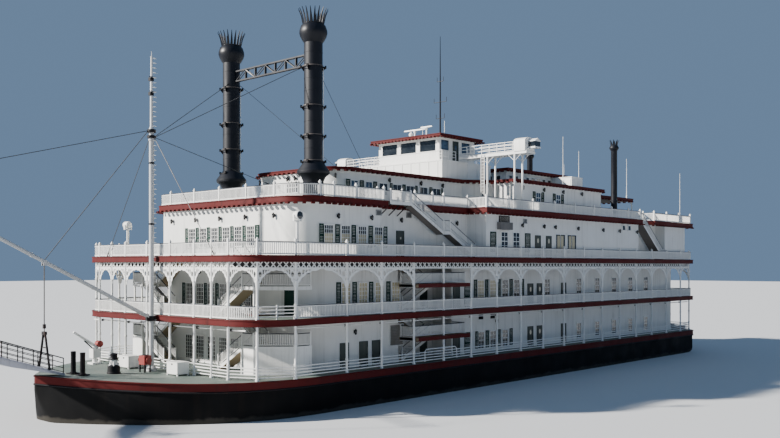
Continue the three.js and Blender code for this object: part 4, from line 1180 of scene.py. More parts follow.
def texas_openings():
    places = on_port(TEXAS_FORE, (15.6, 13.65), 20.45) + on_port(TEXAS_AFT, (-7.72, -11.75), 20.45)
    windows("texas_windows", places, 0.85, 1.1, 2, 2, BLUE_GLASS)
    places = on_port(TEXAS_FORE, (11.65, 9.65, 7.75, 5.7, 3.65), 20.45)
    windows("texas_wide_windows", places, 1.15, 1.1, 2, 1)
    places = on_port(TEXAS_FORE, (16.4, 14.6, 12.8, 10.45, 8.7, 6.9, 4.5, 2.9), 20.3)
    places += on_port(TEXAS_AFT, (-6.94, -8.59, -10.93, -12.63), 20.3)
    at_places("texas_shutters", places, shutter(1.35, 0.5), SHUTTER, "fittings_black")
    windows("texas_front_windows", on_front(TEXAS_FRONT, both((0.45,)), 20.6), 0.75, 1.0, 2, 2)
    lights = on_front(TEXAS_FRONT, both((2.05,)), 21.1)
    ring = Shape().turned([(0.26, 0.0), (0.26, 0.05), (0.2, 0.07)], (0, 0.2), 16, 0, "x")
    at_places("texas_port_light_rings", lights, ring, TRIM)
    disc = Shape().turned([(0.19, 0.05), (0.19, 0.08)], (0, 0.2), 16, 0, "x")
    at_places("texas_port_light_panes", lights, disc, DARK_GLASS)


def lower_openings():
    """Windows, shutters, doors and vents of houses 1 and 2."""
    sashes = both((0.84, 2.53, 4.2))
    aft_rows = (-16.5, -20.7, -24.8, -29.0, -33.2)
    windows("house_1_front_windows", on_front(HOUSE_FRONT, sashes, DECK_1 + 0.1), 1.1, 2.3, 4, 7)
    windows("house_2_front_windows", on_front(HOUSE_FRONT, sashes, DECK_2 + 0.7), 0.95, 1.8, 4, 5)
    places = on_front(HOUSE_FRONT, both((0.0, 1.68, 3.38, 5.05)), DECK_2 + 0.6)
    rows = (22.17, 20.27, 18.24, 16.03, 3.23, 1.38, -0.75, -2.9, -5.0)
    places += on_port(HOUSE_HALF, rows, DECK_2 + 0.75)
    at_places("house_2_shutters", places, shutter(1.95, 0.5), SHUTTER, "fittings_black")
    places = on_port(HOUSE_HALF, (3.0, 1.28, -0.75, -2.9), DECK_1 + 0.35)
    at_places("house_1_shutters", places, shutter(1.8, 0.5), SHUTTER, "fittings_black")
    places = on_port(HOUSE_HALF, (4.5,), DECK_1, DECK_2)
    at_places("side_green_doors", places, shutter(2.15, 1.05), SHUTTER, "fittings_black")
    places = on_port(HOUSE_HALF, (21.3, 19.24, 17.2, 15.05, 2.37, 0.31), DECK_2 + 0.83)
    windows("house_2_side_windows", places, 1.0, 1.78, 3, 5, CURTAIN)
    places = on_port(HOUSE_HALF, (-1.8, -3.9, -9.8, *aft_rows), DECK_2 + 0.83)
    windows("house_2_aft_windows", places, 1.0, 1.78, 2, 4)
    places = on_port(HOUSE_HALF, (2.33, 0.31, -1.8, *aft_rows), DECK_1 + 0.4)
    windows("house_1_aft_windows", places, 0.9, 1.65, 2, 4)
    doors = on_port(HOUSE_HALF, (21.5, 19.19, 17.6, 6.3, -6.5, -8.3, -13.2), DECK_1)
    doors += on_port(HOUSE_HALF, (6.3, -6.5, -8.3, -13.2), DECK_2)
    doors += on_port(HOUSE_HALF - RECESS[2], (13.2, 8.4), DECK_1, DECK_2)
    at_places("lower_doors", doors, door_leaf(0.95, 2.1), DOOR, "fittings_black")
    lights = on_port(HOUSE_HALF, (-6.5, -8.3), DECK_2, DECK_1)
    at_places("lower_door_lights", lights, oval_pane(1.55), LAMP_GLASS)
    vents = on_port(HOUSE_HALF, (2.35, 0.36), 8.3)
    at_places("house_1_vents", vents, vent_grille(0.6, 0.4), IRON, "fittings_black")


def clip_slope(line, half):
    """The part of a slanted line that lies between -half and half in its first coordinate."""
    (y0, z0), (y1, z1) = line
    cuts = []
    for y in (max(min(y0, y1), -half), min(max(y0, y1), half)):
        cuts.append((y, z0 + (z1 - z0) * (y - y0) / (y1 - y0)))
    return cuts if cuts[0][0] < cuts[1][0] - 0.05 else None


def fan_screens():
    """The expanded metal screen beside house 1's stair recess, in its frame."""
    half, outer, high = 0.86, 0.95, 1.8
    places = on_port(HOUSE_HALF, (14.98,), 6.53)
    surround = Shape().box((0.0, -outer, 0.0), (0.1, -half, high)).box((0.0, half, 0.0), (0.1, outer, high))
    for z in (-0.09, high):
        surround.box((0.0, -outer, z), (0.1, outer, z + 0.09))
    at_places("fan_screen_frames", places, surround, TRIM)
    backing = Shape().box((0.0, -half, 0.0), (0.03, half, high))
    at_places("fan_screen_backs", places, backing, SCREEN_BACK_AND_SHADE, "stage_grey")
    lattice = Shape()
    for i in range(-11, 12):
        for way in (-0.45, 0.45):
            strand = clip_slope([(0.14 * i - way, 0.0), (0.14 * i + way, high)], half)
            if strand:
                start, end = strand
                lattice.rod((0.06, *start), (0.06, *end), 0.02, 4)
    at_places("fan_screens", places, lattice, MESH_SCREEN, "stage_grey")


HOUSE_LAMPS = 17.8
TEXAS_LAMPS = 21.92


def wall_lanterns():
    places = on_front(HOUSE_3_FRONT, both((0.0, 3.6, 7.4)), HOUSE_LAMPS)
    places += on_port(HOUSE_3_FORE, (22.49, 18.47), HOUSE_LAMPS)
    places += on_port(HOUSE_3_WAIST, (13.71, 5.57), HOUSE_LAMPS)
    rows = (1.7, -2.37, -6.44, -8.66, -13.39, -18.98, -22.91, -27.28)
    places += on_port(HOUSE_3_AFT, rows, HOUSE_LAMPS)
    places += on_port(TEXAS_FORE, (10.88, 6.21, 2.76), TEXAS_LAMPS)
    places += on_front(TEXAS_FRONT, both((0.55,)), TEXAS_LAMPS)
    places += [((17.41, side * 5.31, TEXAS_LAMPS), side * math.radians(45), 1.0) for side in SIDES]
    places += on_port(TEXAS_AFT, (-4.66, -8.74, -12.68, -16.72), TEXAS_LAMPS)
    places += on_port(HOUSE_HALF, (20.3, -0.2), 8.0) + on_front(HOUSE_FRONT, both((2.55,)), 13.1)
    at_places("wall_lantern_cages", places, lantern_cage(), IRON, "fittings_black")
    at_places("wall_lantern_glass", places, lantern_glass(), DARK_GLASS)


# Galleries: columns, lattice, arches and rails


def columns_port():
    """Every gallery column to port, from the bow aft."""
    return FRONT_COLUMNS + SIDE_COLUMNS + AFT_COLUMNS


def gallery_bays():
    """Start and end of every bay, all the way round."""
    ring = both_sides(columns_port())
    return list(zip(ring, ring[1:] + ring[:1]))


def column_unit(height):
    """A slim column with a foot, a collar at the rail and one at the arch."""
    rows = [(0.15, 0.0), (0.15, 0.12), (0.1, 0.18), (0.1, 1.0), (0.13, 1.04), (0.13, 1.14), (0.1, 1.18)]
    upper = [(0.1, -1.75), (0.135, -1.7), (0.135, -1.58), (0.1, -1.54)]
    head = [(0.1, -0.14), (0.14, -0.08), (0.14, 0)]
    return Shape().turned(rows + shifted(upper + head, height), sides=8)


def columns():
    for number, floor, ceiling in STOREYS:
        unit = column_unit(ceiling - SLAB - floor)
        places = standing(columns_port(), floor)
        nodes = pair(f"gallery_{number}")
        at_places(f"gallery_{number}_columns", places, unit, TRIM, replaces=nodes, smooth=35)


LATTICE_CELL = 0.56
LATTICE_HIGH = 0.64
ARCH_HALF = 1.9
ARCH_HIGH = 1.45


def lattice_unit():
    """One cell of the lattice band: two crossed laths between an upper and a lower rail."""
    half = LATTICE_CELL / 2
    low = 0.12 - LATTICE_HIGH
    shape = Shape()
    for z0, z1 in ((-0.06, 0.0), (-LATTICE_HIGH, low)):
        shape.box((-half, -0.035, z0), (half, 0.035, z1))
    for way in (1, -1):
        rows = [(-half, low - 0.02), (0.12 - half, low - 0.02), (half, -0.05), (half - 0.12, -0.05)]
        shape.prism([(way * x, z) for x, z in rows], -0.025, 0.025)
    return shape


def arch_unit():
    """The sawn bracket between a column and the band: openwork with a scalloped edge."""
    steps = 20
    edge = []
    for i in range(steps + 1):
        a = math.radians(90 * i / steps)
        bump = 0.07 * abs(math.sin(math.pi * i / 4))
        x = ARCH_HALF - (ARCH_HALF - 0.12) * math.cos(a) + bump * math.cos(a)
        edge.append((x, -ARCH_HIGH + (ARCH_HIGH - 0.06) * math.sin(a)**1.15 - bump * math.sin(a)))
    outline = [(0.0, 0.0), (0.0, -ARCH_HIGH - 0.06), (0.1, -ARCH_HIGH - 0.06)] + edge + [(ARCH_HALF, 0.0)]
    ring = [(0.3 + 0.15 * x, -0.4 + 0.22 * z) for x, z in circle((0, 0), 1.0, 10)]
    slots = [[(0.08, -0.72), (0.22, -0.74), (0.08, -1.02)], [(0.08, -0.05), (0.24, -0.05), (0.08, -0.2)],
             [(0.53, -0.05), (0.72, -0.05), (0.66, -0.36), (0.53, -0.44)],
             [(0.8, -0.05), (0.98, -0.05), (0.9, -0.24), (0.78, -0.29)],
             [(1.06, -0.05), (1.24, -0.05), (1.15, -0.14), (1.02, -0.18)]]
    return Shape().slab(outline, -0.025, 0.025, [ring] + slots).upright()


def fretwork():
    cells = []
    arches = []
    level = DECK_3 - SLAB - 0.02
    for (x0, y0), (x1, y1) in gallery_bays():
        length = math.hypot(x1 - x0, y1 - y0)
        turn = math.atan2(y1 - y0, x1 - x0)
        count = max(1, round(length / LATTICE_CELL))
        stretch = length / count / LATTICE_CELL
        for i in range(count):
            place = between((x0, y0, level), (x1, y1, level), (i + 0.5) / count)
            cells.append((place, turn, (stretch, 1.0, 1.0)))
        if RECESS[1] - 0.6 < (x0 + x1) / 2 < RECESS[0] and abs(y0) > 12:
            continue
        reach = min(length / 2 / ARCH_HALF, 1.3)
        low = level - LATTICE_HIGH
        for x, y, way in ((x0, y0, turn), (x1, y1, turn + math.pi)):
            arches.append(((x, y, low), way, (reach, 1.0, 1.0)))
    # A dark band under each deck edge, inside the lattice: painted shade that makes the gaps in the lattice
    # read dark.
    beam = Shape()
    inner = deck_half(0.75)
    for path in (inner, opposite(inner)):
        beam.band(path, oblong(-0.05, 0.05, level - 0.6, level), closed=False)
    piece("gallery_edge_beams", beam, [SHADOW_PAINT])
    at_places("gallery_lattice", cells, lattice_unit(), TRIM)
    at_places("gallery_arches", arches, arch_unit(), TRIM)


# Lower and upper face, half width and finish of a picket rail's lower bar, upper bar and cap
RAIL_BARS = ((0.06, 0.16, 0.04, 0), (0.93, 0.99, 0.04, 0), (0.99, 1.05, 0.055, 1))


def picket_rail(name, paths, floor, node=None):
    """White pickets between two white rails, under a dark cap."""
    picket = Shape().box((-0.03, -0.025, 0.14), (0.03, 0.025, 0.95))
    rows = [[(x, y, floor) for x, y in path] for path in paths]
    along_paths(name + "_pickets", rows, 0.165, picket, TRIM)
    shape = Shape()
    for path in paths:
        for low, high, half, finish in RAIL_BARS:
            shape.band(path, oblong(-half, half, floor + low, floor + high), closed=False, finish=finish)
    nodes = pair(node) if node else ()
    piece(name + "_rails", shape, [TRIM, RAIL_CAP], replaces=nodes)


def rail_post():
    """A square rail post with a pointed finial."""
    shape = Shape().box((-0.08, -0.08, 0.0), (0.08, 0.08, 1.12))
    shape.box((-0.105, -0.105, 1.12), (0.105, 0.105, 1.17))
    square = oblong(-0.075, 0.075, -0.075, 0.075)
    rings = [[(x * s, y * s, z) for x, y in square] for s, z in ((0.8, 1.17), (1.0, 1.22), (0.1, 1.34))]
    return shape.loft(rings)


def deck_4_posts():
    """Places of deck 4's rail posts to port, from the bow aft."""
    fore, waist, aft = (half - EDGE_INSET for half in (FORE_HALF, WAIST_HALF, AFT_HALF))
    places = [(26.5, 0.0), (26.5, 3.75), (26.5, 7.5), (24.5, 10.85)]
    places += [(x, fore) for x in (23.04, 20.43, 16.95)]
    places += [(x, waist) for x in (16.95, 13.66, 11.87, 9.34, 7.68, 3.9)]
    places += [(x, aft) for x in (3.9, 0.3, 0.0)] + [(-4.28 - 4.15 * i, aft) for i in range(6)]
    places += [(-28.05, aft), (-28.05, fore), (-31.85, fore)]
    places += [(x, aft) for x in (-31.85, -35.4, -39.0)]
    return places + [(DECK_AFT + EDGE_INSET, y) for y in (aft, 8.2, 4.1, 0.0)]


def deck_rails():
    rim = deck_half(EDGE_INSET)
    front = [(x, y) for x, y in rim if x > GATE_FRONT[0]] + [GATE_FRONT]
    side = [GATE_AFT] + [(x, y) for x, y in rim if x < GATE_AFT[0]]
    picket_rail("gallery_2_front", [both_sides(front)], DECK_2)
    loose = [side, opposite(side), [(DECK_AFT + EDGE_INSET, 12.15), (DECK_AFT + EDGE_INSET, -12.15)]]
    picket_rail("gallery_2_side", loose, DECK_2)
    whole = both_sides(rim)
    picket_rail("rail_3", [whole, [whole[-1], whole[0]]], DECK_3, "rail_3")
    ahead = deck_4_half(EDGE_INSET)
    tail = deck_4_tail(EDGE_INSET)
    waist = ahead[-3:] + tail[:1]
    stern = tail[1:]
    paths = [both_sides(ahead[:-3]), waist, opposite(waist), stern + opposite(stern)]
    picket_rail("rail_4", paths, DECK_4, "rail_4")
    posts = standing(columns_port(), DECK_3)
    for x, y in deck_4_posts():
        posts += standing([(x, y)], DECK_4)[:2 if y else 1]
    at_places("rail_posts", posts, rail_post(), TRIM)


def bars(shape, path, floor, heights, radius, sides=6, finish=0):
    """Level round bars over a path in plan."""
    for start, end in zip(path, path[1:]):
        for z in heights:
            shape.rod((*start, floor + z), (*end, floor + z), radius, sides, finish)


def barred_rails():
    """The rails of plain bars: all round deck 1, and the gates beside the front stairs."""
    shape = Shape()
    bars(shape, both_sides(columns_port()), DECK_1, (0.22, 0.46, 0.7, 0.94), 0.045)
    hoop = [(13.5, 0.1), (13.5, 1.0), (13.3, 1.2), (9.2, 1.2), (8.95, 1.0), (8.9, 0.1)]
    for side in SIDES:
        gate = [(x, side * y) for x, y in (GATE_FRONT, (30.3, 12.3), GATE_AFT)]
        bars(shape, gate, DECK_2, (0.2, 0.46, 0.72, 0.98), 0.04)
        shape.post(gate[1], DECK_2, DECK_2 + 1.1, 0.055, 6)
        shape.tube([(x, side * SIDE_ROW, DECK_1 + z) for x, z in hoop], 0.05, 6)
    piece("barred_rails", shape, [TRIM], smooth=40)


def pipes():
    """The painted pipes under deck 2, with their clamps and hangers."""
    front = DECK_FRONT - 0.55
    shape = Shape()
    z = DECK_2 - SLAB - 0.42
    shape.rod((front, -11.0, z), (front, 11.2, z), 0.055, 8)
    for y in both((1.69, 5.08, 9.47)):
        shape.block((front, y, z), (0.2, 0.16, 0.2), 1)
    for side in SIDES:
        y = side * (HALF_BEAM - 0.45)
        shape.rod((28.6, y, z + 0.06), (-41.5, y, z + 0.06), 0.05, 8)
        for x, _ in SIDE_COLUMNS[2:]:
            shape.block((x, y, z + 0.06), (0.1, 0.14, 0.16), 1)
            shape.post((x, y), z + 0.06, DECK_2 - SLAB, 0.02, 4)
    piece("gallery_pipes", shape, [TRIM, IRON], smooth=40)


# Stairs


def flight(shape, lower, upper, near, far, along="x"):
    """A flight of treads between two strings, with a boarded soffit and picket hand rails."""
    (u0, z0), (u1, z1) = lower, upper
    across = "y" if along == "x" else "x"

    def plate(below, above, low, high, finish=0):
        rows = [(u0, z0 + above), (u1, z1 + above), (u1, z1 + below), (u0, z0 + below)]
        shape.prism(rows, low, high, across, finish)

    def bar(place, half, below, above, low, high, finish=0):
        u, z = place
        shape.prism(oblong(u - half, u + half, z + below, z + above), low, high, across, finish)

    plate(-0.34, -0.3, near + 0.02, far - 0.02, 1)
    plate(-0.31, -0.02, near, near + 0.06)
    plate(-0.31, -0.02, far - 0.06, far)
    steps = max(2, round(abs(z1 - z0) / 0.19))
    for i in range(steps):
        bar(between(lower, upper, (i + 0.5) / steps), 0.13, -0.03, 0, near + 0.05, far - 0.05, 3)
    pickets = round(abs(u1 - u0) / 0.17)
    for low in (near, far - 0.05):
        plate(0.9, 0.96, low, low + 0.06, 2)
        plate(0.1, 0.16, low + 0.01, low + 0.05)
        for i in range(pickets):
            place = between(lower, upper, (i + 0.5) / pickets)
            bar(place, 0.025, 0.1, 0.92, low + 0.015, low + 0.045)
        for end in (lower, upper):
            bar(end, 0.05, -0.2, 1.02, low - 0.01, low + 0.07)


def landing_rail(shape, path, floor):
    """A picket rail along an open path at rail height over a landing."""
    for start, end in zip(path, path[1:]):
        count = max(1, round(math.dist(start, end) / 0.14))
        for i in range(count + 1):
            shape.block((*between(start, end, i / count), floor + 0.52), (0.05, 0.05, 0.86))
    for z, finish in ((0.12, 0), (1.0, 2)):
        bars(shape, path, floor, (z,), 0.04, 5, finish)
    for place in path:
        shape.block((*place, floor + 0.55), (0.12, 0.12, 1.1))


LANDING = [(26.95, 7.2), (29.75, 7.2), (29.75, 8.8), (27.4, 11.3), (25.8, 11.3), (25.8, 9.5)]
FLIGHT_FOOT = 0.36  # from the floor up to a flight's lower end
FLIGHT_HEAD = 0.1  # from a flight's upper end up to the deck it reaches


def front_stairs(number, floor, ceiling):
    """Two flights across the boat at each front corner, and the landing where they meet."""
    shape = Shape()
    middle = (floor + ceiling) / 2
    base = floor + FLIGHT_FOOT
    under = floor + 0.02 if number == 1 else middle - 0.3
    shape.slab(LANDING, under, middle, (), (0, 3, 1))
    flight(shape, (4.0, base), (7.3, middle), 28.3, 29.6, "y")
    flight(shape, (4.2, ceiling - FLIGHT_HEAD), (7.3, middle), 26.95, 28.15, "y")
    landing_rail(shape, [(29.68, 7.3), (29.68, 8.75), (27.38, 11.22), (25.9, 11.22)], middle)
    for x, y in ((29.6, 8.7), (27.3, 11.2)):
        shape.box((x - 0.06, y - 0.06, floor), (x + 0.06, y + 0.06, middle - 0.3))
    shape.mirrored()
    name = f"front_stairs_{number}"
    piece(name, shape, [TRIM, STAIR_WOOD, RAIL_CAP, DECKING], replaces=pair(name))


def side_stairs(number, floor, ceiling):
    """Two flights in the stair recess, and their landing, which runs out over the gallery."""
    shape = Shape()
    middle = (floor + ceiling) / 2
    base = floor + FLIGHT_FOOT
    shape.box((7.1, 10.65, middle - 0.28), (14.6, 12.93, middle - 0.02), 1)
    shape.box((7.1, 8.3, middle - 0.28), (10.1, 10.7, middle - 0.02), 1)
    shape.box((7.12, 12.6, middle - 0.33), (14.58, 12.94, middle + 0.02), 4)
    for x in (7.1, 14.54):
        shape.box((x, 10.7, middle - 0.33), (x + 0.06, 12.59, middle + 0.02))
    flight(shape, (14.1, base), (10.0, middle), 9.7, 10.55)
    flight(shape, (14.1, ceiling - FLIGHT_HEAD), (10.0, middle), 8.7, 9.55)
    landing_rail(shape, [(7.2, 10.75), (7.2, 12.34), (14.5, 12.34), (14.5, 10.75)], middle)
    shape.mirrored()
    name = f"side_stairs_{number}"
    piece(name, shape, [TRIM, STAIR_WOOD, RAIL_CAP, DECKING, FASCIA], replaces=pair(name))


def deck_4_stairs():
    """The outside stairs from deck 3 to deck 4: two flights forward and one aft."""
    shape = Shape()
    y0, y1 = 10.5, 11.4
    middle = (DECK_3 + DECK_4) / 2
    for x0, x1, level in ((13.7, STEP_X - 0.1, DECK_4), (8.1, 9.3, middle)):
        shape.box((x0, y0, level - 0.27), (x1, y1, level - 0.02), 1)
        shape.box((x0 - 0.02, y1 - 0.03, level - 0.3), (x1, y1 + 0.03, level))
    flight(shape, (9.2, middle), (13.8, DECK_4), y0, y1)
    flight(shape, (4.3, DECK_3 + 0.363), (8.2, middle), y0, y1)
    landing_rail(shape, [(13.85, y1 - 0.06), (16.5, y1 - 0.06)], DECK_4)
    landing_rail(shape, [(8.2, y1 - 0.06), (9.15, y1 - 0.06)], middle)
    for x in (14.2, 15.3, 16.4):
        brace = (x, WAIST_HALF - 0.38, DECK_4 - 1.2)
        shape.rod(brace, (x, y1 - 0.1, DECK_4 - 0.3), 0.05, 6, 4)
    flight(shape, (-34.2, DECK_3 + FLIGHT_FOOT), (NOTCH[0], DECK_4), 11.35, 12.55)
    shape.mirrored()
    finishes = [TRIM, STEP_PAINT, RAIL_CAP, DECKING, IRON]
    piece("deck_4_stairs", shape, finishes, replaces=pair("deck_4_stairs"))


# Roofs and the pilothouse


def tails(name, outline, level, step=0.68):
    """Short blocks under an eaves or a deck's edge."""
    ring = [(x, y, level) for x, y in reversed(outline + outline[:1])]
    unit = Shape().box((-0.15, -0.02, -0.15), (0.15, 0.3, 0.0))
    along_paths(name, [ring], step, unit, FASCIA, "guard_maroon")


def rectangle(x0, x1, half):
    """A plan with its long sides at half to port and starboard."""
    return oblong(x0, x1, -half, half)


def eaves(outline, top, thick):
    """A roof slab with a moulded fascia; finishes 0 fascia, 1 roofing, 2 soffit."""
    low = -thick - 0.02
    rows = [(-0.06, low), (0.04, low), (0.05, -0.08), (0.09, -0.05), (0.09, 0.02), (-0.06, 0.02)]
    shape = Shape().slab(outline, top - thick, top, (), (0, 1, 2))
    return shape.band(outline, shifted(rows, top))


ROOF_FINISHES = [FASCIA, ROOFING, SOFFIT]


def texas_roof():
    outline = both_sides(texas_half(0.28))
    shape = eaves(outline, TEXAS_TOP - 0.02, 0.23)
    piece("texas_roof_slab", shape, ROOF_FINISHES, replaces=["texas_roof"], smooth=30)
    tails("texas_roof_tails", outline, TEXAS_TOP - 0.27)


def skylight():
    """The skylight house on the texas roof, with a row of small windows on three sides."""
    front, aft, half = -9.2, -21.2, 5.6
    shape = Shape().box((aft, -half, TEXAS_TOP), (front, half, TEXAS_TOP + 1.7))
    for z in (TEXAS_TOP + 0.02, TEXAS_TOP + 1.35):
        shape.band(rectangle(aft, front, half), oblong(-0.02, 0.04, z, z + 0.1))
    piece("skylight_walls", shape, [WALL], replaces=["texas_roof"])
    outline = rectangle(aft - 0.32, front + 0.32, half + 0.42)
    shape = eaves(outline, TEXAS_TOP + 1.98, 0.26)
    piece("skylight_roof", shape, ROOF_FINISHES, replaces=["texas_roof"], smooth=30)
    tails("skylight_roof_tails", outline, TEXAS_TOP + 1.7)
    sill = TEXAS_TOP + 0.72
    places = on_port(half, [-10.0 - 1.15 * i for i in range(10)], sill)
    places += on_front(front, [1.125 * i for i in range(-4, 5)], sill)
    windows("skylight_windows", places, 0.62, 0.48, 1, 1)


def air_unit():
    """The air unit beside the skylight, with a lid and grilles on two sides."""
    near, lid, low, high = 5.66, TEXAS_TOP + 1.44, TEXAS_TOP + 0.25, TEXAS_TOP + 1.2
    shape = Shape().box((-21.0, near, TEXAS_TOP), (-18.5, 8.5, TEXAS_TOP + 1.5))
    shape.box((-21.05, near, lid), (-18.45, 8.55, lid + 0.09))
    for y in (6.2, 7.1, 8.0):
        shape.box((-18.52, y - 0.35, low), (-18.46, y + 0.35, high))
    for x in (-20.3, -19.2):
        shape.box((x - 0.4, 8.48, low), (x + 0.4, 8.53, high))
    piece("roof_air_unit", shape, [TRIM], replaces=["texas_roof"], bevel=0.02)


def deck_4_tails():
    tails("deck_4_tails", both_sides(deck_4_half() + deck_4_tail()), DECK_4 - 0.53)


PILOTHOUSE = (1.3, -4.8, 4.4, 25.85, 27.05)  # front, aft, half width, and its windows' sill and head


def pilothouse_base():
    high = BASE_TOP - TEXAS_TOP
    shape = Shape().box((-7.0, -5.0, TEXAS_TOP), (1.6, 5.0, BASE_TOP - 0.12))
    shape.box((-7.05, -5.05, BASE_TOP - 0.14), (1.65, 5.05, BASE_TOP), 1)
    for i in range(8):
        y = -4.4 + 1.257 * i
        shape.box((1.59, y - 0.04, TEXAS_TOP + 0.1), (1.64, y + 0.04, BASE_TOP - 0.14))
    for x in (-6.2, -4.5, -2.8, -1.1, 0.6):
        for side in SIDES:
            shape.block((x, side * 5.01, TEXAS_TOP + high / 2), (0.08, 0.05, high - 0.3))
    piece("pilothouse_base_walls", shape, [WALL, TRIM], replaces=["pilothouse_base"])


def pilothouse_walls():
    """Sill wall, head and posts round the pilothouse's windows, and its floor."""
    front, aft, half, sill, head = PILOTHOUSE
    shape = Shape()
    rim = rectangle(aft, front, half)
    for low, high in ((BASE_TOP + 0.01, sill), (head, PILOT_TOP - 0.3)):
        shape.band(rim, oblong(-0.16, 0, low, high))
    ledge = [(-0.02, -0.06), (0.05, -0.06), (0.05, 0.02), (-0.02, 0.04)]
    shape.band(rim, shifted(ledge, sill))
    shape.slab(rectangle(aft + 0.1, front - 0.1, half - 0.1), BASE_TOP + 0.02, BASE_TOP + 0.1)
    pitch = (2 * half - 0.5) / 3
    posts = [(-half + 0.01, 0.25 + 0.1 * pitch), (-half + 0.25 + 0.9 * pitch, 0.2 * pitch)]
    posts += [(-half + 0.25 + 1.9 * pitch, 0.2 * pitch), (half - 0.26 - 0.1 * pitch, 0.25 + 0.1 * pitch)]
    for x in (aft + 0.08, front - 0.08):
        for y, wide in posts:
            shape.box((x - 0.08, y, sill), (x + 0.08, y + wide, head))
    for side in SIDES:
        y = side * (half - 0.08)
        for x0, x1 in ((aft + 0.16, -3.96), (-2.48, -1.83), (-0.96, -0.31), (front - 0.2, front - 0.16)):
            shape.box((x0, y - 0.08, sill), (x1, y + 0.08, head))
        for x in (-4.0, -2.44, -0.3, 1.08):
            shape.block((x, side * (half + 0.01), (sill + head) / 2), (0.07, 0.05, head - sill))
    piece("pilothouse_walls", shape, [TRIM], replaces=["pilothouse"])


def pilothouse_windows():
    """Dark panes in front and aft, blue ones and the doors at the sides."""
    front, aft, half, sill, head = PILOTHOUSE
    shape = Shape()
    for x in (front - 0.09, aft + 0.09):
        shape.box((x - 0.02, -half + 0.1, sill), (x + 0.02, half - 0.1, head))
    for side in SIDES:
        y = side * (half - 0.09)
        shape.box((aft + 0.1, y - 0.02, sill), (front - 0.1, y + 0.02, head), 1)
    piece("pilothouse_windows", shape, [DARK_GLASS, BLUE_GLASS], replaces=["pilothouse"])
    places = on_port(half, (-1.395,), BASE_TOP + 0.02)
    at_places("pilothouse_doors", places, door_leaf(0.84, 2.1), DOOR, "fittings_black")
    at_places("pilothouse_door_lights", places, oval_pane(1.5), BLUE_GLASS)


def pilothouse_roof():
    front, aft, half, _, _ = PILOTHOUSE
    outline = rectangle(aft - 0.6, front + 0.6, half + 0.6)
    shape = eaves(outline, PILOT_TOP - 0.02, 0.26)
    nodes = ["pilothouse_roof"]
    piece("pilothouse_roof_slab", shape, ROOF_FINISHES, replaces=nodes, smooth=30)
    tails("pilothouse_roof_tails", outline, PILOT_TOP - 0.28, 0.5)


def pilothouse_rails():
    """Plain rails round the walk on the pilothouse's base."""
    shape = Shape()
    for side in SIDES:
        y = side * 4.9
        for path in ([(-0.85, y), (1.5, y), (1.5, side * 4.45)], [(-6.9, y), (-2.85, y)]):
            bars(shape, path, BASE_TOP, (0.35, 0.65, 1.0), 0.035, 5)
        for x in (-6.9, -4.8, -2.9, -0.85, 0.4, 1.5):
            shape.post((x, y), BASE_TOP, BASE_TOP + 1.03, 0.04, 5)
    piece("pilothouse_walk_rails", shape, [TRIM], smooth=40)


WING_AFT = -2.75
WING_FRONT = -1.15
WING_ROOT = 5.06
WING_POSTS = (8.8, 12.22)


def bridge_wings():
    shape = Shape()
    x0, x1 = WING_AFT, WING_FRONT
    low = WING_TOP - 0.25
    shape.box((x0 + 0.03, WING_ROOT, low + 0.03), (x1 - 0.03, 13.68, WING_TOP))
    for x in (x0, x1 - 0.08):
        shape.box((x, WING_ROOT, low), (x + 0.08, 13.7, WING_TOP + 0.05))
    for x in (x0 + 0.1, x1 - 0.1):
        for y in WING_POSTS:
            shape.post((x, y), DECK_4, low, 0.1, 10)
            shape.post((x, y), DECK_4, DECK_4 + 0.12, 0.18, 10)
        bars(shape, [(x, WING_ROOT), (x, 12.15)], WING_TOP, (0.35, 0.7, 1.03), 0.035)
        for i in range(8):
            y = 5.1 + 0.98 * i
            shape.post((x, y), WING_TOP, WING_TOP + 1.05, 0.035, 5)
        for y in (8.0, 9.6, 11.4, 13.0):
            post = WING_POSTS[y > 10]
            shape.rod((x, y, low), (x, post, low - 0.7), 0.03, 5)
    shape.mirrored()
    piece("bridge_wing_platforms", shape, [TRIM], replaces=pair("bridge_wing"), smooth=35)


def wing_cabs():
    """The cab with its arched roof and the lamp box at the end of each bridge wing."""
    nodes = pair("bridge_wing")
    middle = (WING_AFT + WING_FRONT) / 2
    low, high = WING_AFT - 0.08, WING_FRONT + 0.08
    turns = [math.pi * k / 8 for k in range(1, 8)]
    arch = [(middle + 0.88 * math.cos(a), 1.0 + 0.42 * math.sin(a)) for a in turns]
    rows = [(low, 0), (high, 0), (high, 1.0)] + arch + [(low, 1.0)]
    cab = Shape().prism(shifted(rows, WING_TOP), 12.2, 13.58).mirrored()
    piece("bridge_wing_cabs", cab, [WALL], replaces=nodes, smooth=30)
    aft, front, near, far = WING_AFT + 0.18, WING_FRONT - 0.43, 13.55, 14.48
    low, high = aft - 0.02, front + 0.02
    lamp = Shape().box((aft, 13.58, WING_TOP + 0.3), (front, 14.44, WING_TOP + 0.95))
    cap = [(low, 0.93), (high, 0.93), (high, 1.0), ((aft + front) / 2, 1.25), (low, 1.0)]
    lamp.prism(shifted(cap, WING_TOP), near, far, "y", 1)
    lamp.box((front - 0.01, near, WING_TOP + 0.3), (high, 13.64, WING_TOP + 0.95), 1)
    lamp.box((low, near, WING_TOP + 0.25), (high, far, WING_TOP + 0.4), 1)
    lamp.mirrored()
    piece("bridge_wing_lamp_boxes", lamp, [DARK_GLASS, TRIM], replaces=nodes)


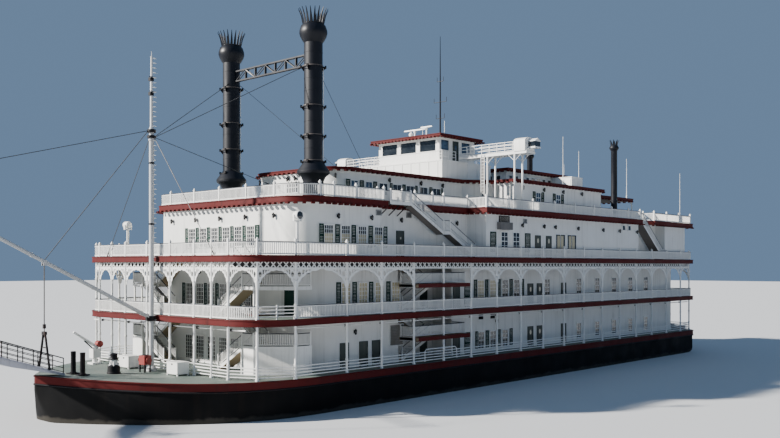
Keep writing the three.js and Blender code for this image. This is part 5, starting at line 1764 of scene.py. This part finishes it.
def wing_ladders():
    """A ladder from deck 4 up to each bridge wing, with the grey board behind it, which is painted shade
    that darkens the gaps between the rungs.
    """
    x = WING_FRONT + 0.04
    near, far = 8.07, 8.5
    ladder = Shape()
    for y in (near, far):
        ladder.post((x, y), DECK_4, WING_TOP, 0.04, 5)
    for i in range(18):
        z = DECK_4 + 0.25 + 0.33 * i
        ladder.rod((x, near, z), (x, far, z), 0.03, 4)
    ladder.box((x - 0.08, near + 0.05, DECK_4 + 0.02), (x - 0.06, far - 0.05, WING_TOP - 0.27), 1)
    ladder.mirrored()
    piece("bridge_wing_ladders", ladder, [TRIM, SCREEN_BACK_AND_SHADE], smooth=40)


def canopy():
    """The light roof over the aft end of deck 4, on braced posts."""
    x0, x1, half = -40.5, -29.5, 5.2
    under = CANOPY_TOP - 0.36
    shape = eaves(rectangle(x0 + 0.1, x1 - 0.1, half - 0.1), CANOPY_TOP, 0.36)
    # The roof's underside takes the near-black paint: painted shade under the canopy.
    finishes = [FASCIA, ROOFING, SHADOW_PAINT, TRIM]
    for x in (x0 + 0.2, (x0 + x1) / 2, x1 - 0.2):
        for y in (-half + 0.2, half - 0.2):
            shape.post((x, y), DECK_4, under + 0.03, 0.08, 8, 3)
            for way in (1, -1):
                if x0 < x + way * 0.8 < x1:
                    shape.rod((x, y, under - 0.62), (x + way * 0.7, y, under), 0.035, 5, 3)
    piece("aft_canopy_roof", shape, finishes, replaces=["aft_canopy"], smooth=30)
    tails("aft_canopy_tails", rectangle(x0 + 0.15, x1 - 0.15, half - 0.15), under, 0.8)


# Stacks


STACK_AT = (20.7, 5.9)
BANDS = {1: (22.89, 25.15, 27.75, 31.25), -1: (22.67, 24.89, 27.43, 30.87)}
LUG_ANGLES = (137, -42, 18, 198)
STACK_CENTRES = [(STACK_AT[0], side * STACK_AT[1]) for side in SIDES]
BARREL = 0.8
CROWN_Z = 35.0
AFT_STACK_CENTRES = [(-32.3, 6.6), (-32.3, -6.6)]


def main_stacks():
    rows = [(0.95, DECK_4 + 0.003), (0.92, 21.1), (1.1, 21.5), (1.42, 21.75), (1.45, 21.88), (1.45, 22.0)]
    rows += [(1.2, 22.35), (0.97, 22.7), (0.825, 22.85), (0.825, 33.35), (0.9, 33.45), (1.0, 33.6)]
    rows += [(1.16, 33.9), (1.25, 34.2), (1.23, 34.45), (1.1, 34.85), (0.95, CROWN_Z), (0.95, 35.08)]
    rows += [(BARREL, 35.08), (0.78, 34.2)]
    barrels = Shape()
    for centre in STACK_CENTRES:
        barrels.turned(rows, centre, 32)
    piece("stack_barrels", barrels, [STACK_PAINT], replaces=pair("stack"), smooth=35)
    stack_bands()
    conduit = Shape()
    for centre in STACK_CENTRES:
        place = polar(centre, 0.88, math.radians(LUG_ANGLES[0]))
        conduit.post(place, 22.9, 31.2, 0.035, 6)
    piece("stack_conduits", conduit, [TRIM], smooth=35)
    stack_lugs()
    stack_crowns()


def stack_bands():
    """The wide bands with their worn steel edges, and the seams between the plates."""
    wide = [(BARREL, -0.07), (0.89, -0.06), (0.89, 0.03), (BARREL, 0.04)]
    edge = [(BARREL, 0.04), (0.9, 0.04), (0.9, 0.08), (BARREL, 0.09)]
    seam = [(BARREL, -0.03), (0.84, -0.02), (0.84, 0.02), (BARREL, 0.03)]
    seams = (24.0, 26.4, 29.1, 30.2, 32.5)
    bands = Shape()
    for side, centre in zip(SIDES, STACK_CENTRES):
        for levels, section, finish in ((BANDS[side], wide, 0), (BANDS[side], edge, 1), (seams, seam, 0)):
            for level in levels:
                bands.turned(shifted(section, level), centre, 32, finish)
    piece("stack_bands", bands, [STACK_PAINT, WORN_STEEL], smooth=35)


def stack_lugs():
    """The lugs on the bands, and the hoops that stand off the barrels below them."""
    lug = Shape().box((0.82, -0.05, -0.1), (1.12, 0.05, 0.02)).box((1.0, -0.09, -0.14), (1.16, 0.09, 0.1))
    lug.prism([(0.82, -0.4), (0.86, -0.4), (1.1, -0.08), (0.82, -0.08)], -0.025, 0.025)
    places = []
    hoops = Shape()
    for side, centre in zip(SIDES, STACK_CENTRES):
        for z in BANDS[side]:
            places += [((*centre, z), math.radians(turn), 1.0) for turn in LUG_ANGLES]
            for start in (-42, 138):
                plan = arc(centre, 1.1, start, start + 60, 6)
                hoops.tube([(x, y, z - 0.1) for x, y in plan], 0.03, 5)
    at_places("stack_lugs", places, lug, IRON, "stack_black")
    piece("stack_hoops", hoops, [IRON], smooth=40)


def stack_crowns():
    """A ring of spikes round the mouth of each main stack."""
    rows = ((0.93, 0.0, 0.11), (1.0, 0.35, 0.1), (1.08, 0.75, 0.075), (1.2, 1.1, 0.045), (1.33, 1.38, 0.02))
    spike = Shape().loft([on_axis(oblong(r - 0.02, r + 0.02, -wide, wide), z, "z") for r, z, wide in rows])
    base = bpy.data.meshes.new("ring")
    for name, (x, y), seed in zip(pair("stack_crown"), STACK_CENTRES, (7, 8)):
        values = {"Count": 20, "Unevenness": 0.05, "Seed": seed, "Centre": (x * M, y * M, CROWN_Z * M)}
        repeated(name, ROUND_RING, base.copy(), spike, STACK_PAINT, "stack_black", **values)


def aft_stacks():
    foot = DECK_4 + 0.003
    rows = [(0.6, foot), (0.6, foot + 0.8), (0.43, foot + 1.0), (0.4, 22.0), (0.46, 22.05), (0.46, 22.2)]
    rows += [(0.41, 22.25), (0.41, 28.75), (0.46, 28.85), (0.6, 29.05), (0.62, 29.2), (0.58, 29.32)]
    rows += [(0.46, 29.5), (0.38, 29.5)]
    petal = ((0.42, 29.45, 0.12), (0.46, 29.75, 0.11), (0.55, 30.0, 0.07), (0.66, 30.24, 0.02))
    barrels = Shape()
    crowns = Shape()
    for x, y in AFT_STACK_CENTRES:
        barrels.turned(rows, (x, y), 24)
        for k in range(8):
            a = 2 * math.pi * (k + 0.5) / 8
            c, s = math.cos(a), math.sin(a)
            rings = []
            for r, z, wide in petal:
                ring = oblong(r - 0.015, r + 0.015, -wide, wide)
                rings.append([(x + u * c - v * s, y + u * s + v * c, z) for u, v in ring])
            crowns.loft(rings)
    nodes = pair("aft_stack")
    piece("aft_stack_barrels", barrels, [STACK_PAINT], replaces=nodes, smooth=35)
    piece("aft_stack_crowns", crowns, [STACK_PAINT], replaces=nodes)


def truss():
    shape = Shape()
    x = STACK_AT[0]
    reach = STACK_AT[1] - 0.828
    low, high, plane, bays = 31.5, 32.45, 0.12, 7
    pitch = 2 * reach / bays
    for dx in (-plane, plane):
        for z in (low, high):
            shape.block((x + dx, 0, z), (0.12, 2 * reach, 0.12))
        for i in range(bays):
            y = -reach + i * pitch
            start, end = (low, high) if i % 2 == 0 else (high, low)
            shape.rod((x + dx, y, start), (x + dx, y + pitch, end), 0.05, 5)
    for i in range(bays + 1):
        y = max(-reach + 0.05, min(reach - 0.05, -reach + i * pitch))
        shape.block((x, y, (low + high) / 2), (2 * plane, 0.09, high - low))
    piece("stack_truss_bars", shape, [STACK_PAINT], replaces=["stack_truss"])


# Mast, rigging, boom and landing stage


MAST_X = 33.35
HUB_Z = 24.63
HEEL_Z = 9.28
BOOM_TIP = (53.2, 19.34)
INNER_FALL_X = 42.55
STAGE_FOOT = (41.35, 5.52)  # top of the walkway at its inner end
STAGE_LONG = 15.0
STAGE_RISE = math.radians(18.5)
STAGE_END = STAGE_FOOT[0] + STAGE_LONG * math.cos(STAGE_RISE)
STAGE_HALF = 0.9
A_FRAME_TOP = 8.6
SLING_X = 53.18


def boom_z(x):
    return HEEL_Z + (x - MAST_X) * (BOOM_TIP[1] - HEEL_Z) / (BOOM_TIP[0] - MAST_X)


def stage_z(x):
    return STAGE_FOOT[1] + (x - STAGE_FOOT[0]) * math.tan(STAGE_RISE)


SLING_Z = stage_z(SLING_X) + 1.24

# Ends of the thin stays from the stacks down to the texas roof
STACK_STAYS = [((20.1, 6.55, 30.0), (14.2, 5.9, TEXAS_TOP)),
               ((20.1, -5.25, 31.2), (14.6, 3.0, TEXAS_TOP))]


def mast():
    foot = DECK_1 + sheer(MAST_X + 0.5)
    rows = shifted([(0.45, 0), (0.45, 0.2), (0.3, 0.35), (0.2, 0.4)], foot)
    hub = ((0.2, -0.7), (0.26, -0.65), (0.26, -0.55), (0.2, -0.5), (0.2, 0.35), (0.13, 0.5))
    rows += shifted(hub, HUB_Z)
    rows += [(0.115, 29.2), (0.09, 29.3), (0.085, 30.9), (0.03, 31.0), (0.02, 31.35)]
    shape = Shape().turned(rows, (MAST_X, 0), 20)
    piece("mast_pole", shape, [SPAR], replaces=["stage_mast"], smooth=35)
    rung = Shape().tube([(0.15, -0.12, 0), (0.36, -0.12, 0), (0.36, 0.12, 0), (0.15, 0.12, 0)], 0.018, 4)
    rows = [((MAST_X, 0, foot + 2.2 + 0.4 * i), math.radians(125), 1.0) for i in range(60)]
    at_places("mast_rungs", rows, rung, TRIM, "spar_white")
    gear = Shape()
    for z in (HUB_Z + 3.2, HUB_Z + 4.4):
        gear.block((MAST_X + 0.05, 0, z), (0.34, 0.3, 0.28))
        gear.rod((MAST_X - 0.3, 0.1, z + 0.2), (MAST_X + 0.3, 0.1, z + 0.2), 0.03, 5)
    for z in (HUB_Z - 2.6, 17.0):
        hoop = [(0.2, 0), (0.24, 0.02), (0.24, 0.14), (0.2, 0.16)]
        gear.turned(shifted(hoop, z), (MAST_X, 0), 16)
    piece("mast_fittings", gear, [IRON], smooth=35)


def rigging():
    x, z = MAST_X, HUB_Z - 0.35
    section = [(0.21, -0.12), (0.36, -0.1), (0.36, 0.1), (0.21, 0.12)]
    shape = Shape().collar(shifted(section, z), (x, 0), 16, 1)
    ends = [(STACK_AT[0] + 0.75, s * (STACK_AT[1] - 0.6), 31.2) for s in SIDES]
    ends += [(DECK_FRONT - 0.1, s * 7.9, DECK_3 + 0.04) for s in SIDES] + [(18.04, -3.5, 21.65)]
    for end in ends:
        away = math.hypot(end[0] - x, end[1])
        start = (x + 0.3 * (end[0] - x) / away, 0.3 * end[1] / away, z)
        shape.rod(start, end, 0.03, 6)
        shape.rod(end, between(end, start, 0.03), 0.055, 6, 1)
    piece("mast_stay_wires", shape, [WIRE, IRON], replaces=["mast_stays"], smooth=40)
    stays = Shape()
    for start, end in STACK_STAYS:
        stays.rod(start, end, 0.022, 5)
    piece("stack_stay_wires", stays, [WIRE], smooth=40)


def boom():
    bore = 0.23
    heel = MAST_X + 0.31
    shape = Shape()
    for low, high, outer in ((HEEL_Z - 0.2, HEEL_Z + 0.2, 0.33), (HUB_Z, HUB_Z + 0.25, 0.36)):
        shape.collar(oblong(bore, outer, low, high), (MAST_X, 0), 20, 1)
    shape.box((MAST_X + 0.26, -0.12, HEEL_Z - 0.18), (heel + 0.2, 0.12, HEEL_Z + 0.18), 1)
    tip = Vector((BOOM_TIP[0], 0, BOOM_TIP[1]))
    start = Vector((heel, 0, boom_z(heel)))
    shape.tube([start, start.lerp(tip, 0.5), tip], 0.15, 12, 0, 0.14)
    for share in (0.03, 0.25, 0.5, 0.75, 0.97):
        shape.rod(start.lerp(tip, share), start.lerp(tip, share + 0.006), 0.17, 12)
    anchor = (MAST_X + bore + 0.1, 0, HUB_Z + 0.12)
    shape.rod(anchor, (tip.x - 0.1, 0, tip.z + 0.05), 0.03, 6, 2)
    shape.rod(anchor, (INNER_FALL_X, 0, boom_z(INNER_FALL_X) + 0.1), 0.03, 6, 2)
    for x, z in ((INNER_FALL_X, boom_z(INNER_FALL_X)), (tip.x - 0.03, tip.z)):
        for side in SIDES:
            shape.block((x, side * 0.15, z - 0.1), (0.26, 0.04, 0.4))
        shape.turned([(0.11, -0.11), (0.11, 0.11)], (x, z - 0.18), 14, 1, "y")
    piece("boom_spar", shape, [SPAR, IRON, WIRE], "boom", ["boom"], smooth=35)


# Each fall's name, x, lower and upper end, the height in the model that stays as the stage rises,
# and the share of its length that is left when the stage is all the way up
FALLS = (("fall_inner", INNER_FALL_X, 8.703, 13.6396, 1.364, 0.595),
         ("fall_outer", SLING_X, SLING_Z + 0.003, 19.037, 1.904, 0.7595))


def falls():
    for name, x, bottom, top, anchor, keep in FALLS:
        shape = Shape()
        for y in (-0.05, 0.05):
            shape.post((x, y), bottom + 0.5, top, 0.024, 5)
        shape.box((x - 0.09, -0.1, bottom + 0.22), (x + 0.09, 0.1, bottom + 0.55), 1)
        shape.post((x, 0), bottom, bottom + 0.25, 0.035, 6, 1)
        made = piece(f"{name}_tackle", shape, [WIRE, IRON], "boom", [name], smooth=40)
        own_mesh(made)


def stage_at(x, y, rise=0.0):
    """A point over or under the walkway's top."""
    return (x, y, stage_z(x) + rise)


def on_slope(rows):
    """Points beside the walkway from rows of x and height over its top."""
    return [(x, stage_z(x) + rise) for x, rise in rows]


def landing_stage():
    foot, end = STAGE_FOOT[0], STAGE_END
    taper, deep = 4.0, 0.55
    section = ((foot, 0), (foot, -0.14), (foot + taper, -deep), (end - taper, -deep), (end, -0.2), (end, 0))
    walk = Shape().prism(on_slope(section), 0.04 - STAGE_HALF, STAGE_HALF - 0.04)
    for side in SIDES:
        y = side * (STAGE_HALF - 0.02)
        for i in range(12):
            x = foot + 0.6 + (end - foot - 1.2) * i / 11
            rib = min(deep, 0.14 + 0.1 * (x - foot), 0.2 + 0.0875 * (end - x))
            walk.block(stage_at(x, y, -rib / 2 - 0.02), (0.06, 0.04, rib - 0.08))
        for below in (0.0, -0.12):
            rows = ((foot, below), (end, below), (end, below - 0.03), (foot, below - 0.03))
            walk.prism(on_slope(rows), y - 0.02, y + 0.02)
    for i in range(44):
        x = foot + 0.2 + (end - foot - 0.4) * i / 43
        walk.block(stage_at(x, 0, 0.01), (0.05, 2 * STAGE_HALF - 0.2, 0.03))
    nodes = ["landing_stage"]
    piece("landing_stage_walk", walk, [STAGE_GREY], "stage", nodes, smooth=40)
    rails = Shape()
    for side in SIDES:
        y = side * (STAGE_HALF - 0.05)
        for z, radius in ((0.08, 0.025), (0.4, 0.03), (0.76, 0.03), (1.12, 0.045)):
            rails.rod(stage_at(foot + 0.1, y, z), stage_at(end - 0.1, y, z), radius, 6)
        for i in range(13):
            x = foot + 0.12 + (end - foot - 0.24) * i / 12
            rails.rod(stage_at(x, y, -0.06), stage_at(x, y, 1.14), 0.04, 6)
        rails.rod(stage_at(INNER_FALL_X, y, -0.06), (INNER_FALL_X, y * 0.15, A_FRAME_TOP), 0.09, 8)
        rails.rod(stage_at(SLING_X, y), (SLING_X, y, SLING_Z - 0.1), 0.05, 6)
        rails.block(stage_at(INNER_FALL_X, y, 0.03), (0.34, 0.1, 0.06))
    for x, half, top in ((INNER_FALL_X, 0.25, A_FRAME_TOP + 0.1), (SLING_X, STAGE_HALF, SLING_Z)):
        rails.block((x, 0, top - 0.125), (0.2, 2 * half, 0.25))
    rails.rod((INNER_FALL_X, -0.5, 7.5), (INNER_FALL_X, 0.5, 7.5), 0.045, 6)
    piece("landing_stage_frames", rails, [IRON], "stage", nodes, smooth=40)


# Deck gear


def searchlights():
    x, y, foot = 28.2, 12.25, DECK_3
    rows = [(0.25, 0), (0.25, 0.1), (0.16, 0.16), (0.12, 0.3), (0.12, 2.55), (0.16, 2.6), (0.16, 2.68)]
    shape = Shape().turned(shifted(rows, foot), (x, y), 14)
    for side in SIDES:
        shape.block((x + side * 0.375, y, foot + 2.9), (0.04, 0.16, 0.5))
    shape.block((x, y, foot + 2.68), (0.76, 0.2, 0.06))
    barrel = [(0.2, -0.3), (0.3, -0.24), (0.34, -0.1), (0.34, 0.26), (0.36, 0.28), (0.36, 0.34)]
    barrel += [(0.31, 0.34), (0.31, 0.28)]
    glass_rows = [(0.3, 0.28), (0.3, 0.31), (0.2, 0.335)]
    middle = (x, foot + 3.1)
    shape.turned(shifted(barrel, y), middle, 20, 0, "y").mirrored()
    lens = Shape().turned(shifted(glass_rows, y), middle, 20, 0, "y").mirrored()
    nodes = pair("searchlight")
    piece("searchlight_bodies", shape, [TRIM], replaces=nodes, smooth=35)
    piece("searchlight_lenses", lens, [DARK_GLASS], smooth=35)


def aerials():
    """The tall pole, the radar scanners and the small aerials on the pilothouse roof."""
    z = PILOT_TOP
    pole, joint = -4.2, 33.5
    shape = Shape().box((-4.8, -0.2, z + 0.003), (0.8, 0.2, z + 0.12))
    shape.post((pole, 0), z, joint, 0.1, 8, 1, 0.08)
    shape.post((pole, 0), joint, 39.73, 0.08, 8, 1, 0.03)
    for h, half in ((32.25, 0.9), (30.4, 0.6), (34.6, 0.45)):
        shape.rod((pole, -half, h), (pole, half, h), 0.035, 6, 1)
        for side in SIDES:
            shape.post((pole, side * half), h, h + 0.5, 0.03, 5, 1)
    for x, high, reach in ((0.2, 0.9, 1.5), (-1.8, 1.5, 0.8)):
        top = z + high
        rows = [(0.16, z), (0.1, z + 0.1), (0.08, top - 0.3), (0.15, top - 0.2), (0.15, top)]
        shape.turned(rows, (x, 0), 12)
        shape.post((x, 0), top - 0.1, top + 0.05, 0.1, 10)
        bar = [(x - 0.1, top), (x + 0.1, top), (x + 0.07, top + 0.12), (x - 0.07, top + 0.12)]
        shape.prism(bar, -reach, reach)
    dome = [(0.05, 0), (0.05, 0.5), (0.25, 0.55), (0.28, 0.75), (0.16, 0.95), (0.05, 1.0)]
    shape.turned(shifted(dome, z), (-0.8, -1.4), 14)
    for y, high in ((1.6, 2.2), (-1.6, 1.8)):
        shape.post((-3.0, y), z, z + high, 0.03, 6)
    piece("radar_and_aerials", shape, [TRIM, IRON], replaces=["aerials"], smooth=35)


# Place in plan, foot and tip of each whip aerial to port
WHIPS = ((-17.36, 8.0, TEXAS_TOP, 28.96), (-21.3, 7.8, TEXAS_TOP, 27.64))
WHIPS += ((-38.8, 5.0, 22.9, 28.45), (-42.55, 11.0, DECK_4, 26.3))


def whip_aerials():
    whips = Shape()
    for x, y, foot, tip in WHIPS:
        for side in SIDES:
            whips.post((x, side * y), foot, tip, 0.04, 6, 0, 0.018)
            whips.post((x, side * y), foot, foot + 0.5, 0.07, 6)
    piece("whip_aerials", whips, [TRIM], smooth=40)


def mooring_bitts():
    x, y = 39.85, 0.72
    foot = DECK_1 + sheer(40.25) + 0.011
    shape = Shape().block((x, y, foot + 0.04), (0.8, 0.8, 0.08))
    rows = [(0.26, 0), (0.26, 0.14), (0.2, 0.18), (0.2, 1.62), (0.21, 1.64), (0.21, 1.72), (0.18, 1.75)]
    shape.turned(shifted(rows, foot), (x, y), 20).mirrored()
    piece("mooring_bitts", shape, [IRON], replaces=pair("bitt"), smooth=35)


def capstan():
    foot = DECK_1 + sheer(37.3)
    centre = (36.8, 0)
    parts = (([(0.55, 0.0), (0.55, 0.08), (0.5, 0.14), (0.48, 0.6), (0.3, 0.7)], 0),
             ([(0.28, 0.66), (0.26, 0.95), (0.34, 1.1)], 1),
             ([(0.38, 1.12), (0.3, 1.2), (0.27, 1.28), (0.3, 1.55), (0.18, 1.62)], 0))
    shape = Shape()
    for rows, finish in parts:
        shape.turned(shifted(rows, foot), centre, 20, finish)
    for low, high in zip(circle(centre, 0.4, 6), circle(centre, 0.26, 6)):
        shape.rod((*low, foot + 0.62), (*high, foot + 1.05), 0.035, 5, 1)
    piece("foredeck_capstan", shape, [IRON, TRIM], replaces=["capstan"], smooth=35)


def deck_winch():
    x, y = 34.25, 0.45
    foot = DECK_1 + sheer(34.55)
    shape = Shape().block((x, y, foot + 1.0), (0.64, 0.84, 0.76))
    shape.block((x, y, foot + 1.39), (0.5, 0.6, 0.04), 1)
    drum = [(0.27, -0.62), (0.27, -0.56), (0.2, -0.54), (0.2, 0.54), (0.27, 0.56), (0.27, 0.62)]
    shape.turned(shifted(drum, y), (x, foot + 1.0), 20, 0, "y")
    for dx in (-0.25, 0.25):
        for dy in (-0.35, 0.35):
            shape.block((x + dx, y + dy, foot + 0.35), (0.11, 0.11, 0.7), 1)
    for dy in (-0.35, 0.35):
        shape.block((x, y + dy, foot + 0.3), (0.5, 0.06, 0.06), 1)
    piece("deck_winch", shape, [RED_MACHINE, IRON], replaces=["winch"], bevel=0.02)


def jib_crane():
    x, y = 33.9, -8.2
    foot = DECK_1 + sheer(34.4)
    shape = Shape().block((x, y, foot + 0.075), (0.9, 0.9, 0.15))
    shape.turned([(0.2, foot + 0.1), (0.2, foot + 1.58)], (x, y), 12)
    shape.block((x - 0.025, y, foot + 0.95), (0.75, 0.7, 0.8))
    arm = [(x + out, y, foot + rise) for out, rise in ((-0.3, 1.4), (0.8, 2.13), (2.0, 2.92))]
    shape.tube(arm, 0.13, 10, 0, 0.1)
    drum = [(0.22, -0.3), (0.29, -0.26), (0.29, 0.26), (0.22, 0.3)]
    shape.turned(shifted(drum, y), (x - 0.4, foot + 1.75), 14, 2, "y")
    shape.rod((x + 0.1, y, foot + 1.3), (x + 1.0, y, foot + 2.1), 0.06, 6, 1)
    finishes = [TRIM, IRON, RED_MACHINE]
    piece("jib_crane_arm", shape, finishes, replaces=["jib_crane"], smooth=35)


def deck_chests():
    foot = DECK_1 + sheer(34.1)
    shape = Shape()
    for y in (3.3, -3.85):
        shape.box((32.97, y + 0.02, foot + 0.12), (34.08, y + 1.48, foot + 1.0))
        shape.box((32.95, y, foot + 0.98), (34.1, y + 1.5, foot + 1.08))
        for x in (33.03, 34.02):
            for leg in (y + 0.08, y + 1.42):
                shape.block((x, leg, foot + 0.1), (0.12, 0.12, 0.2))
        shape.block((34.09, y + 0.75, foot + 0.9), (0.03, 0.16, 0.12), 1)
    piece("deck_chests", shape, [WALL, IRON], replaces=pair("chest"), bevel=0.015)


def foredeck():
    mooring_bitts()
    capstan()
    deck_winch()
    jib_crane()
    deck_chests()


# Stern: wheel, its beams and the rudders


WHEEL_X = -47.6
WHEEL_Z = 4.7
WHEEL_R = 3.6
WHEEL_FRAMES = (-5.6, 0.0, 5.6)
BUCKETS = 12
BUCKET_END = 5.95
BEAM_AFT = -51.6
BEAM_LOW = 4.2
BEAM_TOP = 4.9


def around_shaft(r, angle, y):
    """A point of the wheel by its radius, angle and place along the shaft."""
    return (WHEEL_X + r * math.cos(angle), y, WHEEL_Z + r * math.sin(angle))


def wheel_ring(r, sides, y):
    return [around_shaft(r, 2 * math.pi * k / sides, y) for k in range(sides)]


def wheel_frames():
    """The shaft, and each frame's hub, two hoops and arms."""
    shape = Shape()
    shape.loft([wheel_ring(r, 20, y) for y, r in ((-7.6, 0.24), (-6.9, 0.28), (6.9, 0.28), (7.6, 0.24))])
    hub = ((-0.3, 0.42), (-0.16, 0.45), (-0.15, 0.75), (0.15, 0.75), (0.16, 0.45), (0.3, 0.42))
    for y in WHEEL_FRAMES:
        shape.loft([wheel_ring(r, 24, y + out) for out, r in hub])
        for inner, outer in ((2.22, 2.44), (3.16, 3.34)):
            section = oblong(inner, outer, y - 0.05, y + 0.05)
            turns = [2 * math.pi * k / (2 * BUCKETS) for k in range(2 * BUCKETS)]
            shape.loft([[around_shaft(r, a, place) for r, place in section] for a in turns], True)
        for i in range(BUCKETS):
            a = 2 * math.pi * i / BUCKETS
            across = Vector((-math.sin(a), 0, math.cos(a)))
            rings = []
            for r, wide in ((0.4, 0.11), (2.3, 0.09), (WHEEL_R - 0.08, 0.07)):
                centre = Vector(around_shaft(r, a, y))
                section = ((wide, -0.06), (wide, 0.06), (-wide, 0.06), (-wide, -0.06))
                rings.append([centre + across * u + Vector((0, v, 0)) for u, v in section])
            shape.loft(rings)
    piece("wheel_frames", shape, [RED_MACHINE], "wheel", ["paddle_wheel"], smooth=35)


def wheel_buckets():
    """The planks of every bucket, with the bolts that hold them to the frames."""
    planks = Shape()
    for i in range(BUCKETS):
        a = -2 * math.pi * i / BUCKETS
        across = Vector((-math.sin(a), 0, math.cos(a)))
        for deep, shallow in ((0.93, 0.64), (0.62, 0.33), (0.31, 0.01)):
            rings = []
            for y in (-BUCKET_END, BUCKET_END):
                low = Vector(around_shaft(WHEEL_R - deep, a, y))
                high = Vector(around_shaft(WHEEL_R - shallow, a, y))
                corners = ((low, 0.11), (high, 0.11), (high, 0.03), (low, 0.03))
                rings.append([edge - across * back for edge, back in corners])
            planks.loft(rings)
        for y in WHEEL_FRAMES:
            for deep in (0.8, 0.48, 0.18):
                bolt = Vector(around_shaft(WHEEL_R - deep, a, y + 0.12))
                planks.rod(bolt - across * 0.14, bolt + across * 0.02, 0.03, 6)
    piece("wheel_buckets", planks, [WHEEL_WOOD], "wheel", ["paddle_wheel"])


def wheel_beams():
    """The two box girders that carry the wheel, with the bearings on them."""
    shape = Shape()
    near, far = 6.95, 7.65
    back = TRANSOM - 0.003
    for y in (near, far):
        web = [(back, 2.6), (back, BEAM_TOP), (BEAM_AFT, BEAM_TOP), (BEAM_AFT, BEAM_LOW)]
        shape.prism(web, y - 0.05, y + 0.05)
    upper = [(back, BEAM_TOP), (BEAM_AFT, BEAM_TOP), (BEAM_AFT, BEAM_TOP - 0.1), (back, BEAM_TOP - 0.1)]
    lower = [(back, 2.6), (BEAM_AFT, BEAM_LOW), (BEAM_AFT, BEAM_LOW + 0.1), (back, 2.7)]
    for flange in (upper, lower):
        shape.prism(flange, near - 0.05, far + 0.05)
    shape.box((BEAM_AFT, near - 0.05, BEAM_LOW), (BEAM_AFT + 0.1, far + 0.05, BEAM_TOP))
    bearing = [(0.8, 4.1), (-0.8, 4.1), (-0.8, 4.98), (-0.45, 5.35), (0.45, 5.35), (0.8, 4.98)]
    shape.prism([(WHEEL_X + x, z) for x, z in bearing], 6.9, 7.7, finish=1)
    for x in (WHEEL_X - 0.62, WHEEL_X + 0.62):
        shape.post((x, 7.3), 4.95, 5.2, 0.08, 6, 1)
    shape.mirrored()
    piece("wheel_beams", shape, [FASCIA, IRON], replaces=pair("wheel_beam"))


def rudders():
    x, low, high = -41.5, 0.15, 1.35
    plan = [(1.1, -0.02), (1.1, 0.02), (0.5, 0.06), (-1.2, 0.05), (-2.1, 0.015), (-2.1, -0.015)]
    plan += [(-1.2, -0.05), (0.5, -0.06)]
    for node, y in zip(pair("rudder"), (4.5, -4.5)):
        shape = Shape().loft([[(x + u, y + v, z) for u, v in plan] for z in (low, high)])
        shape.post((x, y), low, 2.6, 0.14, 12)
        for z in (0.4, 1.1):
            shape.box((x - 1.4, y - 0.09, z - 0.04), (x + 0.3, y + 0.09, z + 0.04))
        piece(node + "_blade", shape, [IRON], node, [node], smooth=30)


hull()
main_deck()
decks()
houses()
house_3_openings()
corner_doors()
texas_openings()
lower_openings()
fan_screens()
wall_lanterns()
columns()
fretwork()
deck_rails()
barred_rails()
pipes()
for storey in STOREYS:
    front_stairs(*storey)
    side_stairs(*storey)
deck_4_stairs()
texas_roof()
skylight()
air_unit()
deck_4_tails()
pilothouse_base()
pilothouse_walls()
pilothouse_windows()
pilothouse_roof()
pilothouse_rails()
bridge_wings()
wing_cabs()
wing_ladders()
canopy()
main_stacks()
aft_stacks()
truss()
mast()
rigging()
boom()
falls()
landing_stage()
searchlights()
aerials()
whip_aerials()
foredeck()
wheel_frames()
wheel_buckets()
wheel_beams()
rudders()


# Floor at the waterline, light and camera


SUN_FROM = (1.0, -0.8, 0.62)
EYE = (7.396, 6.409, 1.363)
LOOK = (-0.7362, -0.6768, 0.0)


def floor():
    mesh = bpy.data.meshes.new("floor")
    reach = 60.0
    corners = oblong(-reach, reach, -reach, reach)
    mesh.from_pydata([(x, y, WATERLINE * M) for x, y in corners], [], [(0, 1, 2, 3)])
    made = bpy.data.objects.new("floor", mesh)
    bpy.context.scene.collection.objects.link(made)
    pale = bpy.data.materials.new("pale_floor")
    pale.use_nodes = True
    shader = pale.node_tree.nodes["Principled BSDF"]
    shader.inputs["Base Color"].default_value = (0.6, 0.61, 0.62, 1.0)
    shader.inputs["Roughness"].default_value = 0.9
    mesh.materials.append(pale)


def lights():
    sun = bpy.data.lights.new("sun", "SUN")
    sun.energy = 12.0
    sun.angle = math.radians(2.0)
    sun.color = (1.0, 0.96, 0.9)
    lamp = bpy.data.objects.new("sun", sun)
    lamp.rotation_euler = Vector(SUN_FROM).to_track_quat("Z", "Y").to_euler()
    bpy.context.scene.collection.objects.link(lamp)
    world = bpy.context.scene.world or bpy.data.worlds.new("sky")
    bpy.context.scene.world = world
    world.use_nodes = True
    sky = world.node_tree.nodes["Background"]
    sky.inputs["Color"].default_value = (0.4, 0.63, 1.0, 1.0)
    sky.inputs["Strength"].default_value = 0.36


def camera():
    eye = bpy.data.cameras.new("camera")
    eye.sensor_width = 36.0
    eye.lens = 40.93
    eye.shift_y = 0.06
    eye.clip_end = 200.0
    holder = bpy.data.objects.new("camera", eye)
    holder.location = EYE
    holder.rotation_euler = Vector(LOOK).to_track_quat("-Z", "Y").to_euler()
    bpy.context.scene.collection.objects.link(holder)
    bpy.context.scene.camera = holder


floor()
lights()
camera()
